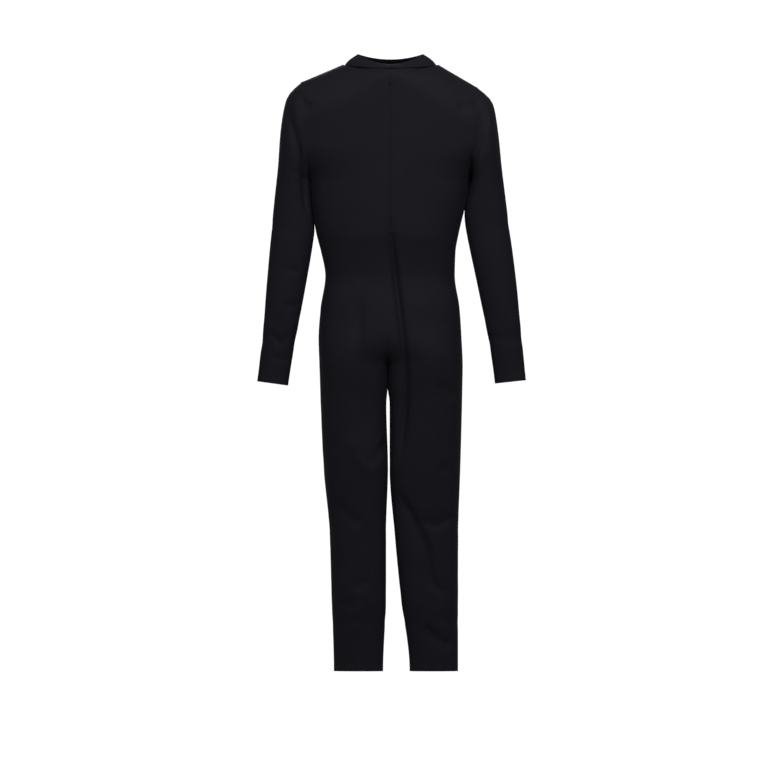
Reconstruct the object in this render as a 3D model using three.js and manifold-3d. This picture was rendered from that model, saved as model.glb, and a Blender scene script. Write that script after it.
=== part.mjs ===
// A full wetsuit in thin stretch fabric: long sleeves, full legs, a low funnel collar and a hidden zip
// down the centre back. Millimetres, +Z up. It hangs upright and filled out, with its back to -Y and
// the wearer's left at -X. The origin is the hang point, inside the neck midway between the shoulders.
import * as THREE from 'three';
import { mergeVertices } from 'three/addons/utils/BufferGeometryUtils.js';
import Module from 'manifold-3d';

const wasm = await Module();
wasm.setup();

// ---- Driving dimensions -------------------------------------------------------------------------

// Fabric, and the clear space that neighbouring pieces keep
const fabricThickness = 1.5;
const hemThickness = 2.2;
const seamGap = 0.5;
const slitGap = 1.8;

// Lengths up the body, each measured from the line below it, starting at the ankle's edge
const ankleToCalf = 181;
const calfToKnee = 150;
const kneeToLowThigh = 151;
const lowThighToThigh = 150;
const thighToCrotch = 92;
const crotchToHip = 59;
const hipToHighHip = 75;
const highHipToWaist = 75;
const waistToMidriff = 56;
const midriffToRibs = 41;
const ribsToChest = 70;
const chestToUnderarm = 50;
const underarmToScye = 100;
const scyeToShoulder = 125;
const shoulderToNeck = 48;
const neckToHangPoint = 18;
const hemHeight = 14;

// Neck and collar
const neckHalfWidth = 112;
const backNeckDrop = 8;
const frontNeckDrop = 23;
const collarTopHalfWidth = 76;
const collarTopBackDepth = 50;
const collarTopFrontDepth = 45;
const collarRise = 27;
const collarBackDip = 22;
const collarFrontDip = 12;
const collarTuck = 2.2;
const collarSeat = 0.3;
const collarLayerGap = 1.2;
const collarTabReach = 0.42;
const collarTabThickness = 1.2;
const loopPatchThickness = 1;
const collarLiningSpan = [0.04, 0.96];
const loopPatchSpan = [0.25, 0.8];
const collarTabSpan = [0.2, 0.85];
const shoulderRound = 100;
const neckCrown = 82;

// Shoulder, armhole and sleeve
const shoulderHalfWidth = 207.5;
const armholeFlatten = 0.24;
const armholeRound = 90;
const capLength = 114;
const underarmClearance = 0.6;
const capSpread = 0.04;
const upperArmToElbow = 135;
const elbowToForearm = 75;
const forearmToWrist = 160;
const upperArmHalfWidth = 48;
const elbowHalfWidth = 43;
const forearmHalfWidth = 38.5;
const wristHalfWidth = 34;
const armholeHalfDepth = 56;
const upperArmHalfDepth = 37;
const elbowHalfDepth = 32;
const forearmHalfDepth = 29;
const wristHalfDepth = 20;

// Hip joint: the turning point, and how far the leg swings out
const hipPivotOut = 91;
const hipPivotBelowCrotch = 24;
const hipSwing = THREE.MathUtils.degToRad(25);

// Zip, its guard flap and the label
const zipTapeWidth = 12;
const zipTapeThickness = 0.6;
const zipTapeClearance = 0.9;
const zipCoilWidth = 1.7;
const zipCoilDepth = 1.5;
const zipCoilClearance = 0.4;
const zipLength = 360;
const zipStopHeight = 3;
const bottomStopHeight = 5;
const sliderHeight = 13;
const sliderWidth = 9;
const sliderPlate = 1.6;
const sliderNeckWidth = 0.9;
const bridgeWidth = 2;
const bridgeHeight = 9;
const bridgeBar = 1.2;
const bridgeOpening = 1.7;
const bridgeClearance = 0.6;
const pullWidth = 6;
const pullLength = 26;
const pullThickness = 1.1;
const pullBar = 1;
const pullWindowWidth = 3.6;
const pullWindowHeight = 6;
const guardSewnOut = 40;
const guardFreeOut = 30;
const guardThickness = 1.2;
const guardClearance = 1.2;
const labelHalfWidth = 22;
const labelLength = 35;
const labelThickness = 0.6;

// ---- Heights above the ankle's edge ---------------------------------------------------------------

const calfHeight = ankleToCalf;
const kneeHeight = calfHeight + calfToKnee;
const lowThighHeight = kneeHeight + kneeToLowThigh;
const thighHeight = lowThighHeight + lowThighToThigh;
const crotchHeight = thighHeight + thighToCrotch;
const hipHeight = crotchHeight + crotchToHip;
const highHipHeight = hipHeight + hipToHighHip;
const waistHeight = highHipHeight + highHipToWaist;
const midriffHeight = waistHeight + waistToMidriff;
const ribsHeight = midriffHeight + midriffToRibs;
const chestHeight = ribsHeight + ribsToChest;
const underarmHeight = chestHeight + chestToUnderarm;
const scyeHeight = underarmHeight + underarmToScye;
const shoulderHeight = scyeHeight + scyeToShoulder;
const neckHeight = shoulderHeight + shoulderToNeck;
const hangHeight = neckHeight - neckToHangPoint;

// ---- Outline of each half and depth of each face ----------------------------------------------------
// The left half hangs a little wider and higher than the right, as a suit on a hanger does.

const bodyHeights = [
  0, calfHeight, kneeHeight, lowThighHeight, thighHeight, crotchHeight, hipHeight,
  highHipHeight, waistHeight, midriffHeight, ribsHeight, chestHeight, underarmHeight,
];
const halves = [
  {
    name: 'left',
    dir: -1,
    outer: profile(bodyHeights, [132, 137.5, 142, 156, 163, 166, 168, 163, 152, 162, 173, 185, 188]),
    inner: profile(bodyHeights, [20, 13, 13, 8, 12, 7, 6, 5, 3, 1, 0, 0, 0]),
    shoulderOut: shoulderHalfWidth + 2.5,
    shoulderLift: 7,
    sleeveAway: 1,
    leanTop: 7.4,
    leanWrist: 7.8,
    capFullness: 12,
  },
  {
    name: 'right',
    dir: 1,
    outer: profile(bodyHeights, [156, 156, 156, 161, 165.5, 168, 166, 161, 150, 151.5, 159, 176, 187]),
    inner: profile(bodyHeights, [46, 25, 10.5, -1, -1, -7, -6, -5, -3, -1, 0, 0, 0]),
    shoulderOut: shoulderHalfWidth - 2.5,
    shoulderLift: -6,
    sleeveAway: 11,
    leanTop: 10.8,
    leanWrist: 6.2,
    capFullness: 8,
  },
];
const depthHeights = [...bodyHeights, scyeHeight, shoulderHeight, neckHeight];
const backDepth = 82;
const backDepths = [33, 46, 50, 62, 70, 81, 86, 80, 69, 75];
while (backDepths.length < depthHeights.length) backDepths.push(backDepth);
const faces = [
  { name: 'back', dir: -1, depth: profile(depthHeights, backDepths), neckDrop: backNeckDrop },
  {
    name: 'front',
    dir: 1,
    depth: profile(depthHeights, [33, 46, 50, 62, 66, 74, 77, 72, 63, 68, 76, 83, 86, 88, 72, 70]),
    neckDrop: frontNeckDrop,
  },
];
const [leftHalf, rightHalf] = halves;
const [backFace, frontFace] = faces;

// ---- Mesh density -------------------------------------------------------------------------------------

const panelColumns = 9;
const hipRows = 5;
const waistRows = 5;
const chestRows = 4;
const torsoUpperRows = 9;
const legRows = 10;
const sleeveColumns = 16;
const sleeveCapRows = 7;
const sleeveRows = 7;
const collarColumns = 36;
const guardRows = 10;

// ---- Small helpers --------------------------------------------------------------------------------------

function lerp(a, b, t) {
  return a + (b - a) * t;
}

function clamp01(t) {
  return Math.min(Math.max(t, 0), 1);
}

// A smooth curve through (xs, ys) that never overshoots its points.
function profile(xs, ys) {
  const slopes = ys.map((y, i) => {
    if (i === 0 || i === ys.length - 1) return 0;
    const before = (y - ys[i - 1]) / (xs[i] - xs[i - 1]);
    const after = (ys[i + 1] - y) / (xs[i + 1] - xs[i]);
    return before * after > 0 ? (2 * before * after) / (before + after) : 0;
  });
  return (x) => {
    const inside = Math.min(Math.max(x, xs[0]), xs[xs.length - 1]);
    let i = 0;
    while (i < xs.length - 2 && inside > xs[i + 1]) i += 1;
    const span = xs[i + 1] - xs[i];
    const t = (inside - xs[i]) / span;
    const rise = ys[i + 1] - ys[i];
    const curve = rise * t * t * (3 - 2 * t);
    const tilt = span * t * (1 - t) * (slopes[i] * (1 - t) - slopes[i + 1] * t);
    return ys[i] + curve + tilt;
  };
}

// A closed solid from two grids of points, the outer skin and the inner one. A wrapped grid joins its
// last column to its first.
function skinSolid(outer, inner, wrapped = false) {
  const rows = outer.length;
  const columns = outer[0].length;
  const points = [...outer.flat(), ...inner.flat()];
  const innerStart = rows * columns;
  const triangles = [];
  const quad = (a, b, c, d) => triangles.push(a, b, c, a, c, d);
  const at = (row, column) => row * columns + (column % columns);
  const lastColumn = wrapped ? columns : columns - 1;
  for (let row = 0; row < rows - 1; row += 1) {
    for (let column = 0; column < lastColumn; column += 1) {
      const corners = [at(row, column), at(row, column + 1), at(row + 1, column + 1), at(row + 1, column)];
      quad(...corners);
      quad(...corners.map((index) => index + innerStart).reverse());
    }
    if (!wrapped) {
      const low = at(row, 0);
      const high = at(row + 1, 0);
      quad(low, high, high + innerStart, low + innerStart);
      const farLow = at(row, columns - 1);
      const farHigh = at(row + 1, columns - 1);
      quad(farHigh, farLow, farLow + innerStart, farHigh + innerStart);
    }
  }
  for (let column = 0; column < lastColumn; column += 1) {
    const near = at(0, column);
    const next = at(0, column + 1);
    quad(next, near, near + innerStart, next + innerStart);
    const topNear = at(rows - 1, column);
    const topNext = at(rows - 1, column + 1);
    quad(topNear, topNext, topNext + innerStart, topNear + innerStart);
  }
  const geometry = new THREE.BufferGeometry();
  geometry.setAttribute('position', new THREE.Float32BufferAttribute(points.flat(), 3));
  geometry.setIndex(triangles);
  return facingOut(geometry);
}

// Turns the triangles over when the solid is inside out.
function facingOut(geometry) {
  const position = geometry.getAttribute('position');
  const index = geometry.getIndex().array;
  const a = new THREE.Vector3();
  const b = new THREE.Vector3();
  const c = new THREE.Vector3();
  let volume = 0;
  for (let i = 0; i < index.length; i += 3) {
    a.fromBufferAttribute(position, index[i]);
    b.fromBufferAttribute(position, index[i + 1]);
    c.fromBufferAttribute(position, index[i + 2]);
    volume += a.dot(b.cross(c));
  }
  if (volume < 0) geometry.setIndex(Array.from(index).reverse());
  return geometry;
}

function grid(rows, columns, pointAt) {
  const lines = [];
  for (let row = 0; row <= rows; row += 1) {
    const line = [];
    for (let column = 0; column <= columns; column += 1) line.push(pointAt(column / columns, row / rows));
    lines.push(line);
  }
  return lines;
}

function toSolid(geometry) {
  const bare = geometry.clone();
  bare.deleteAttribute('normal');
  bare.deleteAttribute('uv');
  const merged = mergeVertices(bare, 1e-4);
  return new wasm.Manifold(new wasm.Mesh({
    numProp: 3,
    vertProperties: new Float32Array(merged.getAttribute('position').array),
    triVerts: new Uint32Array(merged.getIndex().array),
  }));
}

function toGeometry(solid) {
  const mesh = solid.getMesh();
  const geometry = new THREE.BufferGeometry();
  geometry.setAttribute('position', new THREE.BufferAttribute(mesh.vertProperties, 3));
  geometry.setIndex(new THREE.BufferAttribute(mesh.triVerts, 1));
  return geometry;
}

function block(x0, x1, y0, y1, z0, z1) {
  const geometry = new THREE.BoxGeometry(x1 - x0, y1 - y0, z1 - z0);
  geometry.translate((x0 + x1) / 2, (y0 + y1) / 2, (z0 + z1) / 2);
  return geometry;
}

// ---- The body's surface -------------------------------------------------------------------------------
// Each quarter of the suit is half an ellipse at every height. Below the waist the ellipse moves out of
// the centre and closes on itself, which makes the crotch and then the leg. inset is the depth below
// the fabric's outside.

const splitTop = highHipHeight;

function centreGap(face, z) {
  const inZip = face === backFace && z > ribsHeight;
  return (inZip ? slitGap : seamGap) / 2;
}

function keepClear(half, face, x, y, z, width) {
  const gap = centreGap(face, z);
  const across = clamp01((x - half.inner(z)) / width);
  const depth = face.depth(z);
  const apart = seamGap / 2 + y * (1 - seamGap / 2 / depth);
  return [half.dir * (x + gap * (1 - across)), face.dir * apart, z];
}

function lowerPoint(half, face, t, z, inset) {
  const seam = half.inner(z);
  const width = half.outer(z) - seam;
  const split = (1 - clamp01((z - crotchHeight) / (splitTop - crotchHeight))) ** 2;
  const middle = (width / 2) * split;
  const reach = width * (1 - split / 2) - inset;
  const start = Math.acos(-Math.min(middle / reach, 1));
  const angle = start * (1 - t);
  const x = seam + middle + reach * Math.cos(angle);
  const y = (face.depth(z) - inset) * Math.sin(angle);
  return keepClear(half, face, x, y, z, width);
}

// Rows of points up a panel, as spans that each have a lower height, an upper height and a row count.
function lowerRows(half, face, inset, spans) {
  const rows = [];
  for (const [low, high, count] of spans) {
    const span = grid(count, panelColumns, (t, v) => lowerPoint(half, face, t, lerp(low, high, v), inset));
    rows.push(...(rows.length ? span.slice(1) : span));
  }
  return rows;
}

function shoulderTip(half) {
  return [half.shoulderOut, shoulderHeight + half.shoulderLift];
}

// The armhole's edge seen from behind is a straight line from the underarm to the shoulder's tip.
function armholeX(half, z) {
  const [tipX, tipZ] = shoulderTip(half);
  return lerp(half.outer(underarmHeight), tipX, (z - underarmHeight) / (tipZ - underarmHeight));
}

// Height of the shoulder line, carried on over the neck opening up to a crown at the centre.
function shoulderLine(half, x) {
  const [tipX, tipZ] = shoulderTip(half);
  const slope = (neckHeight - tipZ) / (tipX - neckHalfWidth);
  const straight = (at) => tipZ + slope * (tipX - at);
  const overNeck = clamp01((neckHalfWidth - x) / neckHalfWidth) ** 2;
  return straight(x) + (neckHeight + neckCrown - straight(0)) * overNeck;
}

function upperDepth(half, face, x, z, inset) {
  const opening = clamp01((z - underarmHeight) / armholeRound);
  const close = 1 - armholeFlatten * opening * (2 - opening);
  const reach = armholeX(half, z) / close - inset;
  const section = Math.sqrt(Math.max(1 - (x / reach) ** 2, 0));
  const below = clamp01((shoulderLine(half, x) - inset - z) / shoulderRound);
  const roundOver = Math.sqrt(1 - (1 - below) ** 2);
  return (face.depth(z) - inset) * section * roundOver;
}

// The upper edge: the neckline as far as the collar's side point, then the shoulder seam.
function topEdge(half, face, t) {
  const neckShare = 0.5;
  if (t <= neckShare) {
    const across = t / neckShare;
    return [neckHalfWidth * across, neckHeight - face.neckDrop * (1 - across ** 2)];
  }
  const along = (t - neckShare) / (1 - neckShare);
  const [tipX, tipZ] = shoulderTip(half);
  return [lerp(neckHalfWidth, tipX, along), lerp(neckHeight, tipZ, along)];
}

function upperPoint(half, face, t, v, inset) {
  const [tipX, tipZ] = shoulderTip(half);
  const [topX, topZ] = topEdge(half, face, t);
  const armX = armholeX(half, lerp(underarmHeight, tipZ, v));
  const x = (armX - inset) * lerp(Math.sin((Math.PI / 2) * t), topX / tipX, v);
  const z = lerp(underarmHeight, topZ, v) - inset * v;
  const y = upperDepth(half, face, x, z, inset);
  return keepClear(half, face, x, y, z, armX);
}

// ---- Torso and legs, parted by a round cut at each hip --------------------------------------------------

const hipPivotHeight = crotchHeight - hipPivotBelowCrotch;
const cutReach = 1000;

function hipCutter(half, gap) {
  const toSide = half.outer(hipPivotHeight) - hipPivotOut;
  const radius = toSide / Math.cos(hipSwing / 2) + gap;
  const round = new THREE.CylinderGeometry(radius, radius, cutReach, 72);
  round.translate(half.dir * hipPivotOut, 0, hipPivotHeight);
  const below = block(-cutReach, cutReach, -cutReach, cutReach, -cutReach, hipPivotHeight + gap);
  return toSolid(round).add(toSolid(below));
}

function torsoPanel(half, face) {
  const bottom = hipPivotHeight - seamGap;
  const build = (inset) => {
    const lower = lowerRows(half, face, inset, [
      [bottom, crotchHeight, 1],
      [crotchHeight, splitTop, hipRows],
      [splitTop, ribsHeight, waistRows],
      [ribsHeight, underarmHeight, chestRows],
    ]);
    const upper = grid(torsoUpperRows, panelColumns, (t, v) =>
      upperPoint(half, face, t, Math.sin((Math.PI / 2) * v), inset));
    return [...lower, ...upper.slice(1)];
  };
  const whole = toSolid(skinSolid(build(0), build(fabricThickness)));
  return toGeometry(whole.subtract(hipCutter(half, seamGap)));
}

function legPanel(half, face) {
  const bottom = hemHeight + seamGap;
  const top = splitTop;
  const build = (inset) => lowerRows(half, face, inset, [
    [bottom, crotchHeight, legRows],
    [crotchHeight, top, hipRows],
  ]);
  const whole = toSolid(skinSolid(build(0), build(fabricThickness)));
  return toGeometry(whole.intersect(hipCutter(half, 0)));
}

function ankleHem(half) {
  const build = (inset) => [0, hemHeight].map((z) => {
    const ring = [];
    for (const face of [backFace, frontFace]) {
      for (let i = 0; i < panelColumns; i += 1) {
        const t = face === backFace ? i / panelColumns : 1 - i / panelColumns;
        const [x, y] = lowerPoint(half, face, t, z, inset);
        const onSeam = i === 0;
        ring.push([x, onSeam ? 0 : y, z]);
      }
    }
    return ring;
  });
  return skinSolid(build(0), build(hemThickness), true);
}

// ---- Sleeves --------------------------------------------------------------------------------------------
// A sleeve is a row of rings. Each ring runs from the underarm side to the outside of the arm: the first
// is the armhole itself, and they fan round to lie square across the arm.

const sleeveLength = upperArmToElbow + elbowToForearm + forearmToWrist;
const sleeveStops = [0, upperArmToElbow, upperArmToElbow + elbowToForearm, sleeveLength];
const sleeveWidth = profile(sleeveStops, [upperArmHalfWidth, elbowHalfWidth, forearmHalfWidth, wristHalfWidth]);
const sleeveDepth = profile(sleeveStops, [upperArmHalfDepth, elbowHalfDepth, forearmHalfDepth, wristHalfDepth]);

// Centre, and the direction across the arm, at a distance down the sleeve from the end of its cap.
function armLine(half, distance) {
  const lean = lerp(half.leanTop, half.leanWrist, distance / sleeveLength);
  const across = THREE.MathUtils.degToRad(lean);
  const path = THREE.MathUtils.degToRad((half.leanTop + lean) / 2);
  const start = innerCap(half, 1);
  const startAcross = THREE.MathUtils.degToRad(half.leanTop);
  return {
    x: start[0] + upperArmHalfWidth * Math.cos(startAcross) + distance * Math.sin(path),
    z: start[1] + upperArmHalfWidth * Math.sin(startAcross) - distance * Math.cos(path),
    across,
  };
}

// The cap's inner edge follows the side of the body at a small and growing distance.
function innerCap(half, s) {
  const z = underarmHeight - capLength * s;
  const away = underarmClearance + half.sleeveAway * s * s + capLength * s * capSpread;
  return [half.outer(z) + away, z];
}

// The cap's outer edge is a full curve from the shoulder's tip to the outside of the upper arm.
function outerCap(half, s) {
  const [tipX, tipZ] = shoulderTip(half);
  const { x, z, across } = armLine(half, 0);
  const endX = x + upperArmHalfWidth * Math.cos(across);
  const endZ = z + upperArmHalfWidth * Math.sin(across);
  const drop = 1 - (1 - s) * (1 - 0.25 * s);
  const round = half.capFullness * Math.sin(Math.PI * Math.min(1.6 * s, 1));
  const bulge = 0.5 * (1 - (1 - s) ** 3) + 0.5 * s;
  return [lerp(tipX, endX, bulge) + round, lerp(tipZ, endZ, drop)];
}

function sleeveRing(half, inner, outer, depthAt) {
  const ring = [];
  for (let i = 0; i < sleeveColumns; i += 1) {
    const angle = (2 * Math.PI * i) / sleeveColumns;
    const along = (1 - Math.cos(angle)) / 2;
    const x = lerp(inner[0], outer[0], along);
    const z = lerp(inner[1], outer[1], along);
    ring.push([half.dir * x, depthAt(angle), z]);
  }
  return ring;
}

// Both ends of a ring drawn in by inset, along the line between them.
function drawnIn(inner, outer, inset) {
  const length = Math.hypot(outer[0] - inner[0], outer[1] - inner[1]);
  const share = inset / length;
  return [
    [lerp(inner[0], outer[0], share), lerp(inner[1], outer[1], share)],
    [lerp(outer[0], inner[0], share), lerp(outer[1], inner[1], share)],
  ];
}

function capRing(half, s, inset) {
  let inner = innerCap(half, s);
  let outer = outerCap(half, s);
  if (s === 0) {
    const [tipX, tipZ] = shoulderTip(half);
    inner = [half.outer(underarmHeight) + seamGap, underarmHeight];
    outer = [tipX + seamGap, tipZ];
  }
  [inner, outer] = drawnIn(inner, outer, inset);
  const ringDepth = lerp(armholeHalfDepth, upperArmHalfDepth, s);
  const rounding = THREE.MathUtils.smoothstep(s, 0, 0.7);
  return sleeveRing(half, inner, outer, (angle) => {
    const face = Math.sin(angle) < 0 ? backFace : frontFace;
    const along = (1 - Math.cos(angle)) / 2;
    const edgeZ = lerp(underarmHeight, shoulderTip(half)[1], along);
    const onArmhole = face.dir * upperDepth(half, face, armholeX(half, edgeZ), edgeZ, 0);
    const onEllipse = ringDepth * Math.sin(angle);
    const y = lerp(onArmhole, onEllipse, rounding);
    return y * (1 - inset / ringDepth);
  });
}

function armRing(half, distance, inset) {
  const { x, z, across } = armLine(half, distance);
  const width = sleeveWidth(distance) - inset;
  const inner = [x - width * Math.cos(across), z - width * Math.sin(across)];
  const outer = [x + width * Math.cos(across), z + width * Math.sin(across)];
  return sleeveRing(half, inner, outer, (angle) => (sleeveDepth(distance) - inset) * Math.sin(angle));
}

function sleeve(half) {
  const end = sleeveLength - hemHeight - seamGap;
  const build = (inset) => {
    const rings = [];
    for (let i = 0; i < sleeveCapRows; i += 1) rings.push(capRing(half, i / sleeveCapRows, inset));
    for (let i = 0; i <= sleeveRows; i += 1) rings.push(armRing(half, (end * i) / sleeveRows, inset));
    return rings;
  };
  return skinSolid(build(0), build(fabricThickness), true);
}

function cuffHem(half) {
  const build = (inset) => [sleeveLength - hemHeight, sleeveLength].map((d) => armRing(half, d, inset));
  return skinSolid(build(0), build(hemThickness), true);
}

// ---- Collar ---------------------------------------------------------------------------------------------
// A funnel from the neckline up to a smaller ring. angle is 0 at the centre back and a half turn at the
// centre front. Its layers lie one inside the other.

function collarPoint(angle, v) {
  const half = Math.sin(angle) < 0 ? leftHalf : rightHalf;
  const face = Math.cos(angle) > 0 ? backFace : frontFace;
  const across = Math.abs(Math.sin(angle));
  const along = Math.cos(angle);
  const neckline = neckHeight - face.neckDrop * (1 - across ** 2);
  const depth = upperDepth(half, face, neckHalfWidth * across, neckline, 0);
  const base = new THREE.Vector3(
    Math.sin(angle) * (neckHalfWidth - collarTuck),
    face.dir * Math.max(depth - collarTuck * Math.abs(along), 0),
    neckline + collarSeat,
  );
  const topDepth = face === backFace ? collarTopBackDepth : collarTopFrontDepth;
  const dip = face === backFace ? collarBackDip : collarFrontDip;
  const top = new THREE.Vector3(
    Math.sin(angle) * collarTopHalfWidth,
    -along * topDepth,
    neckHeight + collarRise - dip * along ** 2,
  );
  return base.lerp(top, v);
}

function collarInside(angle, v, offset) {
  const step = 0.02;
  const point = collarPoint(angle, v);
  const around = collarPoint(angle + step, v).sub(collarPoint(angle - step, v));
  const up = collarPoint(angle, 1).sub(collarPoint(angle, 0));
  const outward = around.cross(up).normalize();
  return point.addScaledVector(outward, -offset).toArray();
}

function collarBand(fromAngle, toAngle, fromV, toV, offset, thickness, columns) {
  const build = (depth) => grid(2, columns, (t, v) =>
    collarInside(lerp(fromAngle, toAngle, t), lerp(fromV, toV, v), depth));
  return skinSolid(build(offset), build(offset + thickness));
}

const collarSlit = 0.025;
const loopPatchNear = 0.06;
const fullTurn = 2 * Math.PI;
const liningOffset = fabricThickness + collarLayerGap;
const loopPatchOffset = liningOffset + fabricThickness + collarLayerGap;
const tabOffset = loopPatchOffset + loopPatchThickness + collarLayerGap;

// ---- Zip ------------------------------------------------------------------------------------------------
// The tapes lie inside the back, the coils inside the tapes. The slider's plate rides behind the coils,
// its neck passes through the slit, and its bridge and pull are outside.

const insideBack = backDepth - fabricThickness;
const tapeFace = -(insideBack - zipTapeClearance);
const tapeBack = tapeFace + zipTapeThickness;
const coilFace = tapeBack + zipCoilClearance;
const coilBack = coilFace + zipCoilDepth;
const plateFace = coilBack + zipCoilClearance;
const plateBack = plateFace + sliderPlate;
const zipBottom = ribsHeight + seamGap;
const zipTop = zipBottom + zipLength;
const slitHalf = slitGap / 2;

const crownFace = -(backDepth + bridgeClearance);
const crownOut = crownFace - bridgeBar;
const openingOut = crownOut - bridgeOpening;
const bridgeOut = openingOut - bridgeBar;
const sliderMiddle = zipTop - zipStopHeight - sliderHeight / 2 - seamGap;
const pullAxisY = (crownOut + openingOut) / 2;

function zipSlider() {
  const low = sliderMiddle - sliderHeight / 2;
  const high = sliderMiddle + sliderHeight / 2;
  const halfBridge = bridgeHeight / 2;
  const plate = block(-sliderWidth / 2, sliderWidth / 2, plateFace, plateBack, low, high);
  const neckHalf = sliderNeckWidth / 2;
  const neck = block(-neckHalf, neckHalf, crownFace - bridgeBar / 2, plateFace + sliderPlate / 2,
    sliderMiddle - halfBridge, sliderMiddle + halfBridge);
  const crown = block(-bridgeWidth, bridgeWidth, crownOut, crownFace,
    sliderMiddle - halfBridge, sliderMiddle + halfBridge);
  const archHalf = bridgeWidth / 2;
  const arch = block(-archHalf, archHalf, bridgeOut, crownOut + bridgeBar / 2,
    sliderMiddle - halfBridge, sliderMiddle + halfBridge);
  const opening = block(-bridgeWidth, bridgeWidth, openingOut, crownOut,
    sliderMiddle - halfBridge + bridgeBar, sliderMiddle + halfBridge - bridgeBar);
  const bridge = toSolid(arch).subtract(toSolid(opening));
  return toGeometry(toSolid(plate).add(toSolid(neck)).add(toSolid(crown)).add(bridge));
}

// A drop-shaped tab with a window at its top, whose upper bar lies in the slider's bridge.
function zipPull() {
  const halfWidth = pullWidth / 2;
  const top = pullBar / 2;
  const round = halfWidth + 0.4;
  const outline = new THREE.Shape();
  outline.moveTo(-halfWidth, top);
  outline.lineTo(-round, top - pullLength + round);
  outline.absarc(0, top - pullLength + round, round, Math.PI, 2 * Math.PI, false);
  outline.lineTo(halfWidth, top);
  outline.closePath();
  const window = new THREE.Path();
  const windowHalf = pullWindowWidth / 2;
  const windowTop = top - pullBar;
  window.moveTo(-windowHalf, windowTop);
  window.lineTo(windowHalf, windowTop);
  window.lineTo(windowHalf, windowTop - pullWindowHeight);
  window.lineTo(-windowHalf, windowTop - pullWindowHeight);
  window.closePath();
  outline.holes.push(window);
  const geometry = new THREE.ExtrudeGeometry(outline, {
    depth: pullThickness,
    bevelEnabled: false,
    curveSegments: 8,
  });
  geometry.translate(0, 0, -pullThickness / 2);
  geometry.rotateX(Math.PI / 2);
  geometry.translate(0, pullAxisY, sliderMiddle);
  return geometry;
}

// The guard flap is sewn along its left edge and lies behind the coils and the slider's plate.
function zipGuard() {
  const clear = plateBack + seamGap;
  const build = (depth) => grid(guardRows, 3, (t, v) => {
    const z = lerp(zipBottom, zipTop, v);
    const sewn = upperDepth(leftHalf, backFace, guardSewnOut, z, fabricThickness) - guardClearance;
    const route = [[-guardSewnOut, -sewn], [-guardSewnOut / 2, clear], [0, clear], [guardFreeOut, clear]];
    const [x, y] = route[Math.round(3 * t)];
    return [x, y + depth, z];
  });
  return skinSolid(build(0), build(guardThickness));
}

// A blank label that follows the inside of the front below the neckline.
function careLabel() {
  const top = shoulderHeight;
  const inset = fabricThickness + seamGap;
  const build = (depth) => grid(4, 4, (t, v) => {
    const x = lerp(-labelHalfWidth, labelHalfWidth, t);
    const z = lerp(top - labelLength, top, v);
    const half = x < 0 ? leftHalf : rightHalf;
    return [x, upperDepth(half, frontFace, Math.abs(x), z, inset) - depth, z];
  });
  return skinSolid(build(0), build(labelThickness));
}

// ---- Materials ------------------------------------------------------------------------------------------

const finishes = {
  knit: { color: 0x17171a, roughness: 0.8, metalness: 0 },
  lining: { color: 0x1c1c20, roughness: 0.85, metalness: 0 },
  binding: { color: 0x131316, roughness: 0.75, metalness: 0 },
  fastener: { color: 0x101012, roughness: 0.95, metalness: 0 },
  tape: { color: 0x141416, roughness: 0.8, metalness: 0 },
  coil: { color: 0x1a1a1c, roughness: 0.4, metalness: 0 },
  metal: { color: 0x2a2a2d, roughness: 0.35, metalness: 0.9 },
  label: { color: 0x2b2b2e, roughness: 0.6, metalness: 0 },
};

// ---- The suit -------------------------------------------------------------------------------------------

const group = new THREE.Group();
const suit = new THREE.Group();
suit.position.z = -hangHeight;
group.add(suit);

function addPiece(name, geometry, finish) {
  const material = new THREE.MeshStandardMaterial(finishes[finish]);
  const mesh = new THREE.Mesh(geometry, material);
  mesh.name = name;
  suit.add(mesh);
}

for (const half of halves) {
  for (const face of faces) {
    addPiece(`${face.name}_${half.name}_panel`, torsoPanel(half, face), 'knit');
    addPiece(`${face.name}_${half.name}_leg`, legPanel(half, face), 'knit');
  }
  addPiece(`${half.name}_ankle_hem`, ankleHem(half), 'binding');
  addPiece(`${half.name}_sleeve`, sleeve(half), 'knit');
  addPiece(`${half.name}_cuff_hem`, cuffHem(half), 'binding');

  const tapeNear = half.dir * slitHalf;
  const tapeFar = half.dir * (slitHalf + zipTapeWidth);
  const coilFar = half.dir * (slitHalf + zipCoilWidth);
  const tape = block(Math.min(tapeNear, tapeFar), Math.max(tapeNear, tapeFar), tapeFace, tapeBack,
    zipBottom, zipTop);
  addPiece(`zip_tape_${half.name}`, tape, 'tape');
  const coilLow = zipBottom + bottomStopHeight + seamGap;
  const coilHigh = zipTop - zipStopHeight - seamGap;
  const coil = block(Math.min(tapeNear, coilFar), Math.max(tapeNear, coilFar), coilFace, coilBack,
    coilLow, coilHigh);
  addPiece(`zip_coil_${half.name}`, coil, 'coil');
  const stop = block(Math.min(tapeNear, coilFar), Math.max(tapeNear, coilFar), coilFace, plateBack,
    zipTop - zipStopHeight, zipTop);
  addPiece(`zip_top_stop_${half.name}`, stop, 'metal');
}

addPiece('collar_outer',
  collarBand(collarSlit, fullTurn - collarSlit, 0, 1, 0, fabricThickness, collarColumns), 'knit');
addPiece('collar_lining',
  collarBand(collarSlit, fullTurn - collarSlit, ...collarLiningSpan, liningOffset, fabricThickness, collarColumns),
  'lining');
addPiece('collar_loop_patch',
  collarBand(fullTurn - collarTabReach, fullTurn - loopPatchNear, ...loopPatchSpan, loopPatchOffset,
    loopPatchThickness, 4),
  'fastener');
addPiece('collar_tab',
  collarBand(-0.8 * collarTabReach, 0.8 * collarTabReach, ...collarTabSpan, tabOffset, collarTabThickness, 8),
  'fastener');

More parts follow.
